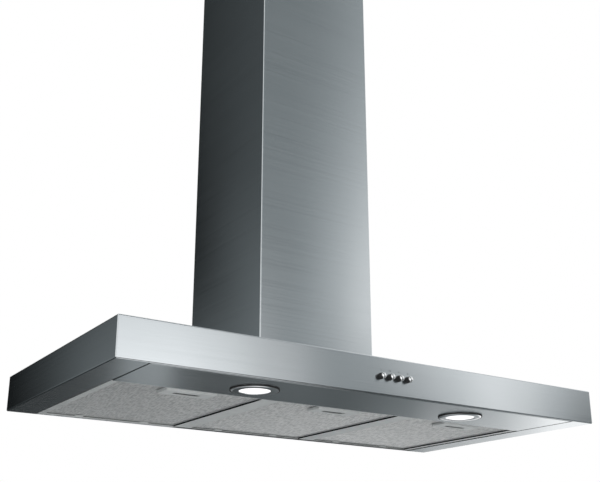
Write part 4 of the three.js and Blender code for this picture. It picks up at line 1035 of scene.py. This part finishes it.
soft_panel("left_rear_panel", (-7.0, 3.0, -1.84), (0.2, 3.0, 9.0), [
    (0.50, [(-4.0, 0.30), (-2.2, 0.26), (-1.85, 0.22), (-1.71, 0.17), (-1.60, 0.09), (-1.48, 0.04),
            (-1.30, 0.0),
            (0.1, 0.0)]),
    (1.05, [(-4.0, 0.30), (-2.2, 0.22), (-2.05, 0.19), (-1.91, 0.11), (-1.80, 0.055), (-1.71, 0.015),
            (-1.64, 0.0),
            (0.1, 0.0)]),
    (1.70, [(-4.0, 0.20), (-2.2, 0.11), (-2.04, 0.09), (-1.93, 0.075), (-1.79, 0.045), (-1.68, 0.0),
            (0.1, 0.0)]),
    (2.60, [(-4.0, 0.15), (-2.2, 0.09), (-2.02, 0.08), (-1.90, 0.065), (-1.76, 0.04), (-1.62, 0.02),
            (0.1, 0.0)]),
])
soft_panel("floor_panel", (-7.0, -2.9, -1.83), (7.0, 2.98, -1.83), [
    (-1.2, [(-6.0, 0.03), (0.5, 0.03), (1.4, 0.05), (2.4, 0.15), (3.2, 0.6), (6.0, 0.8)]),
    (-0.5, [(-1.3, 0.03), (-0.6, 0.05), (0.0, 1.00), (0.7, 1.00), (1.1, 0.05), (2.4, 0.15),
            (3.2, 0.6), (6.0, 0.8)]),
    (0.10, [(-1.3, 0.03), (-0.6, 0.05), (0.0, 1.00), (0.7, 1.00), (1.1, 0.05), (2.4, 0.15),
            (3.2, 0.6), (6.0, 0.8)]),
    (0.60, [(-1.0, 0.03), (-0.1, 0.05), (0.15, 0.25), (0.45, 0.90), (0.8, 0.60), (1.2, 0.12),
            (2.4, 0.20), (3.2, 0.8)]),
    (1.90, [(-1.0, 0.03), (0.1, 0.03), (0.45, 0.20), (0.80, 0.75), (1.1, 0.40), (1.6, 0.12),
            (2.4, 0.20), (3.2, 0.8)]),
])
soft_panel("low_rear_panel", (-0.9, 2.0, -1.84), (6.0, 2.0, -0.31), [
    (-0.90, [(-0.5, 0.03), (0.10, 0.03), (0.35, 0.04), (0.52, 0.07), (0.65, 0.34), (0.77, 0.42),
             (0.88, 0.12),
             (1.00, 0.06), (1.50, 0.14), (1.95, 0.11), (2.25, 0.18), (2.45, 0.24), (2.75, 0.36),
             (3.00, 0.70),
             (3.25, 1.20), (5.0, 1.25)]),
    (-0.70, [(-0.5, 0.03), (0.05, 0.03), (0.40, 0.04), (0.60, 0.12), (1.00, 0.08), (1.60, 0.10),
             (2.05, 0.40),
             (2.30, 0.90), (2.70, 1.15), (3.20, 1.30), (5.0, 1.3)]),
])

# %% [markdown]
# Two soft lamps light what isn't a mirror. They are hidden from reflections.

# %% Area lamps
def area(name, place_at, aim, size, power):
    data = bpy.data.lights.new(name, "AREA")
    data.shape = "RECTANGLE"
    data.size, data.size_y = size
    data.energy = power
    lamp = bpy.data.objects.new(name, data)
    lamp.location = place_at
    lamp.rotation_euler = (Vector(aim) - Vector(place_at)).to_track_quat("-Z", "Y").to_euler()
    bpy.context.scene.collection.objects.link(lamp)
    lamp.visible_glossy = False


area("key", (1.2, -2.6, 2.2), (0, -0.2, 0), (2.0, 2.0), 60)
area("fill", (-1.6, -2.0, 0.6), (0, -0.2, -0.2), (1.5, 1.5), 18)

# %% [markdown]
# Standard view transform keeps the written colours as they are.

# %% Finish
bpy.context.scene.view_settings.view_transform = "Standard"
clear_selection()
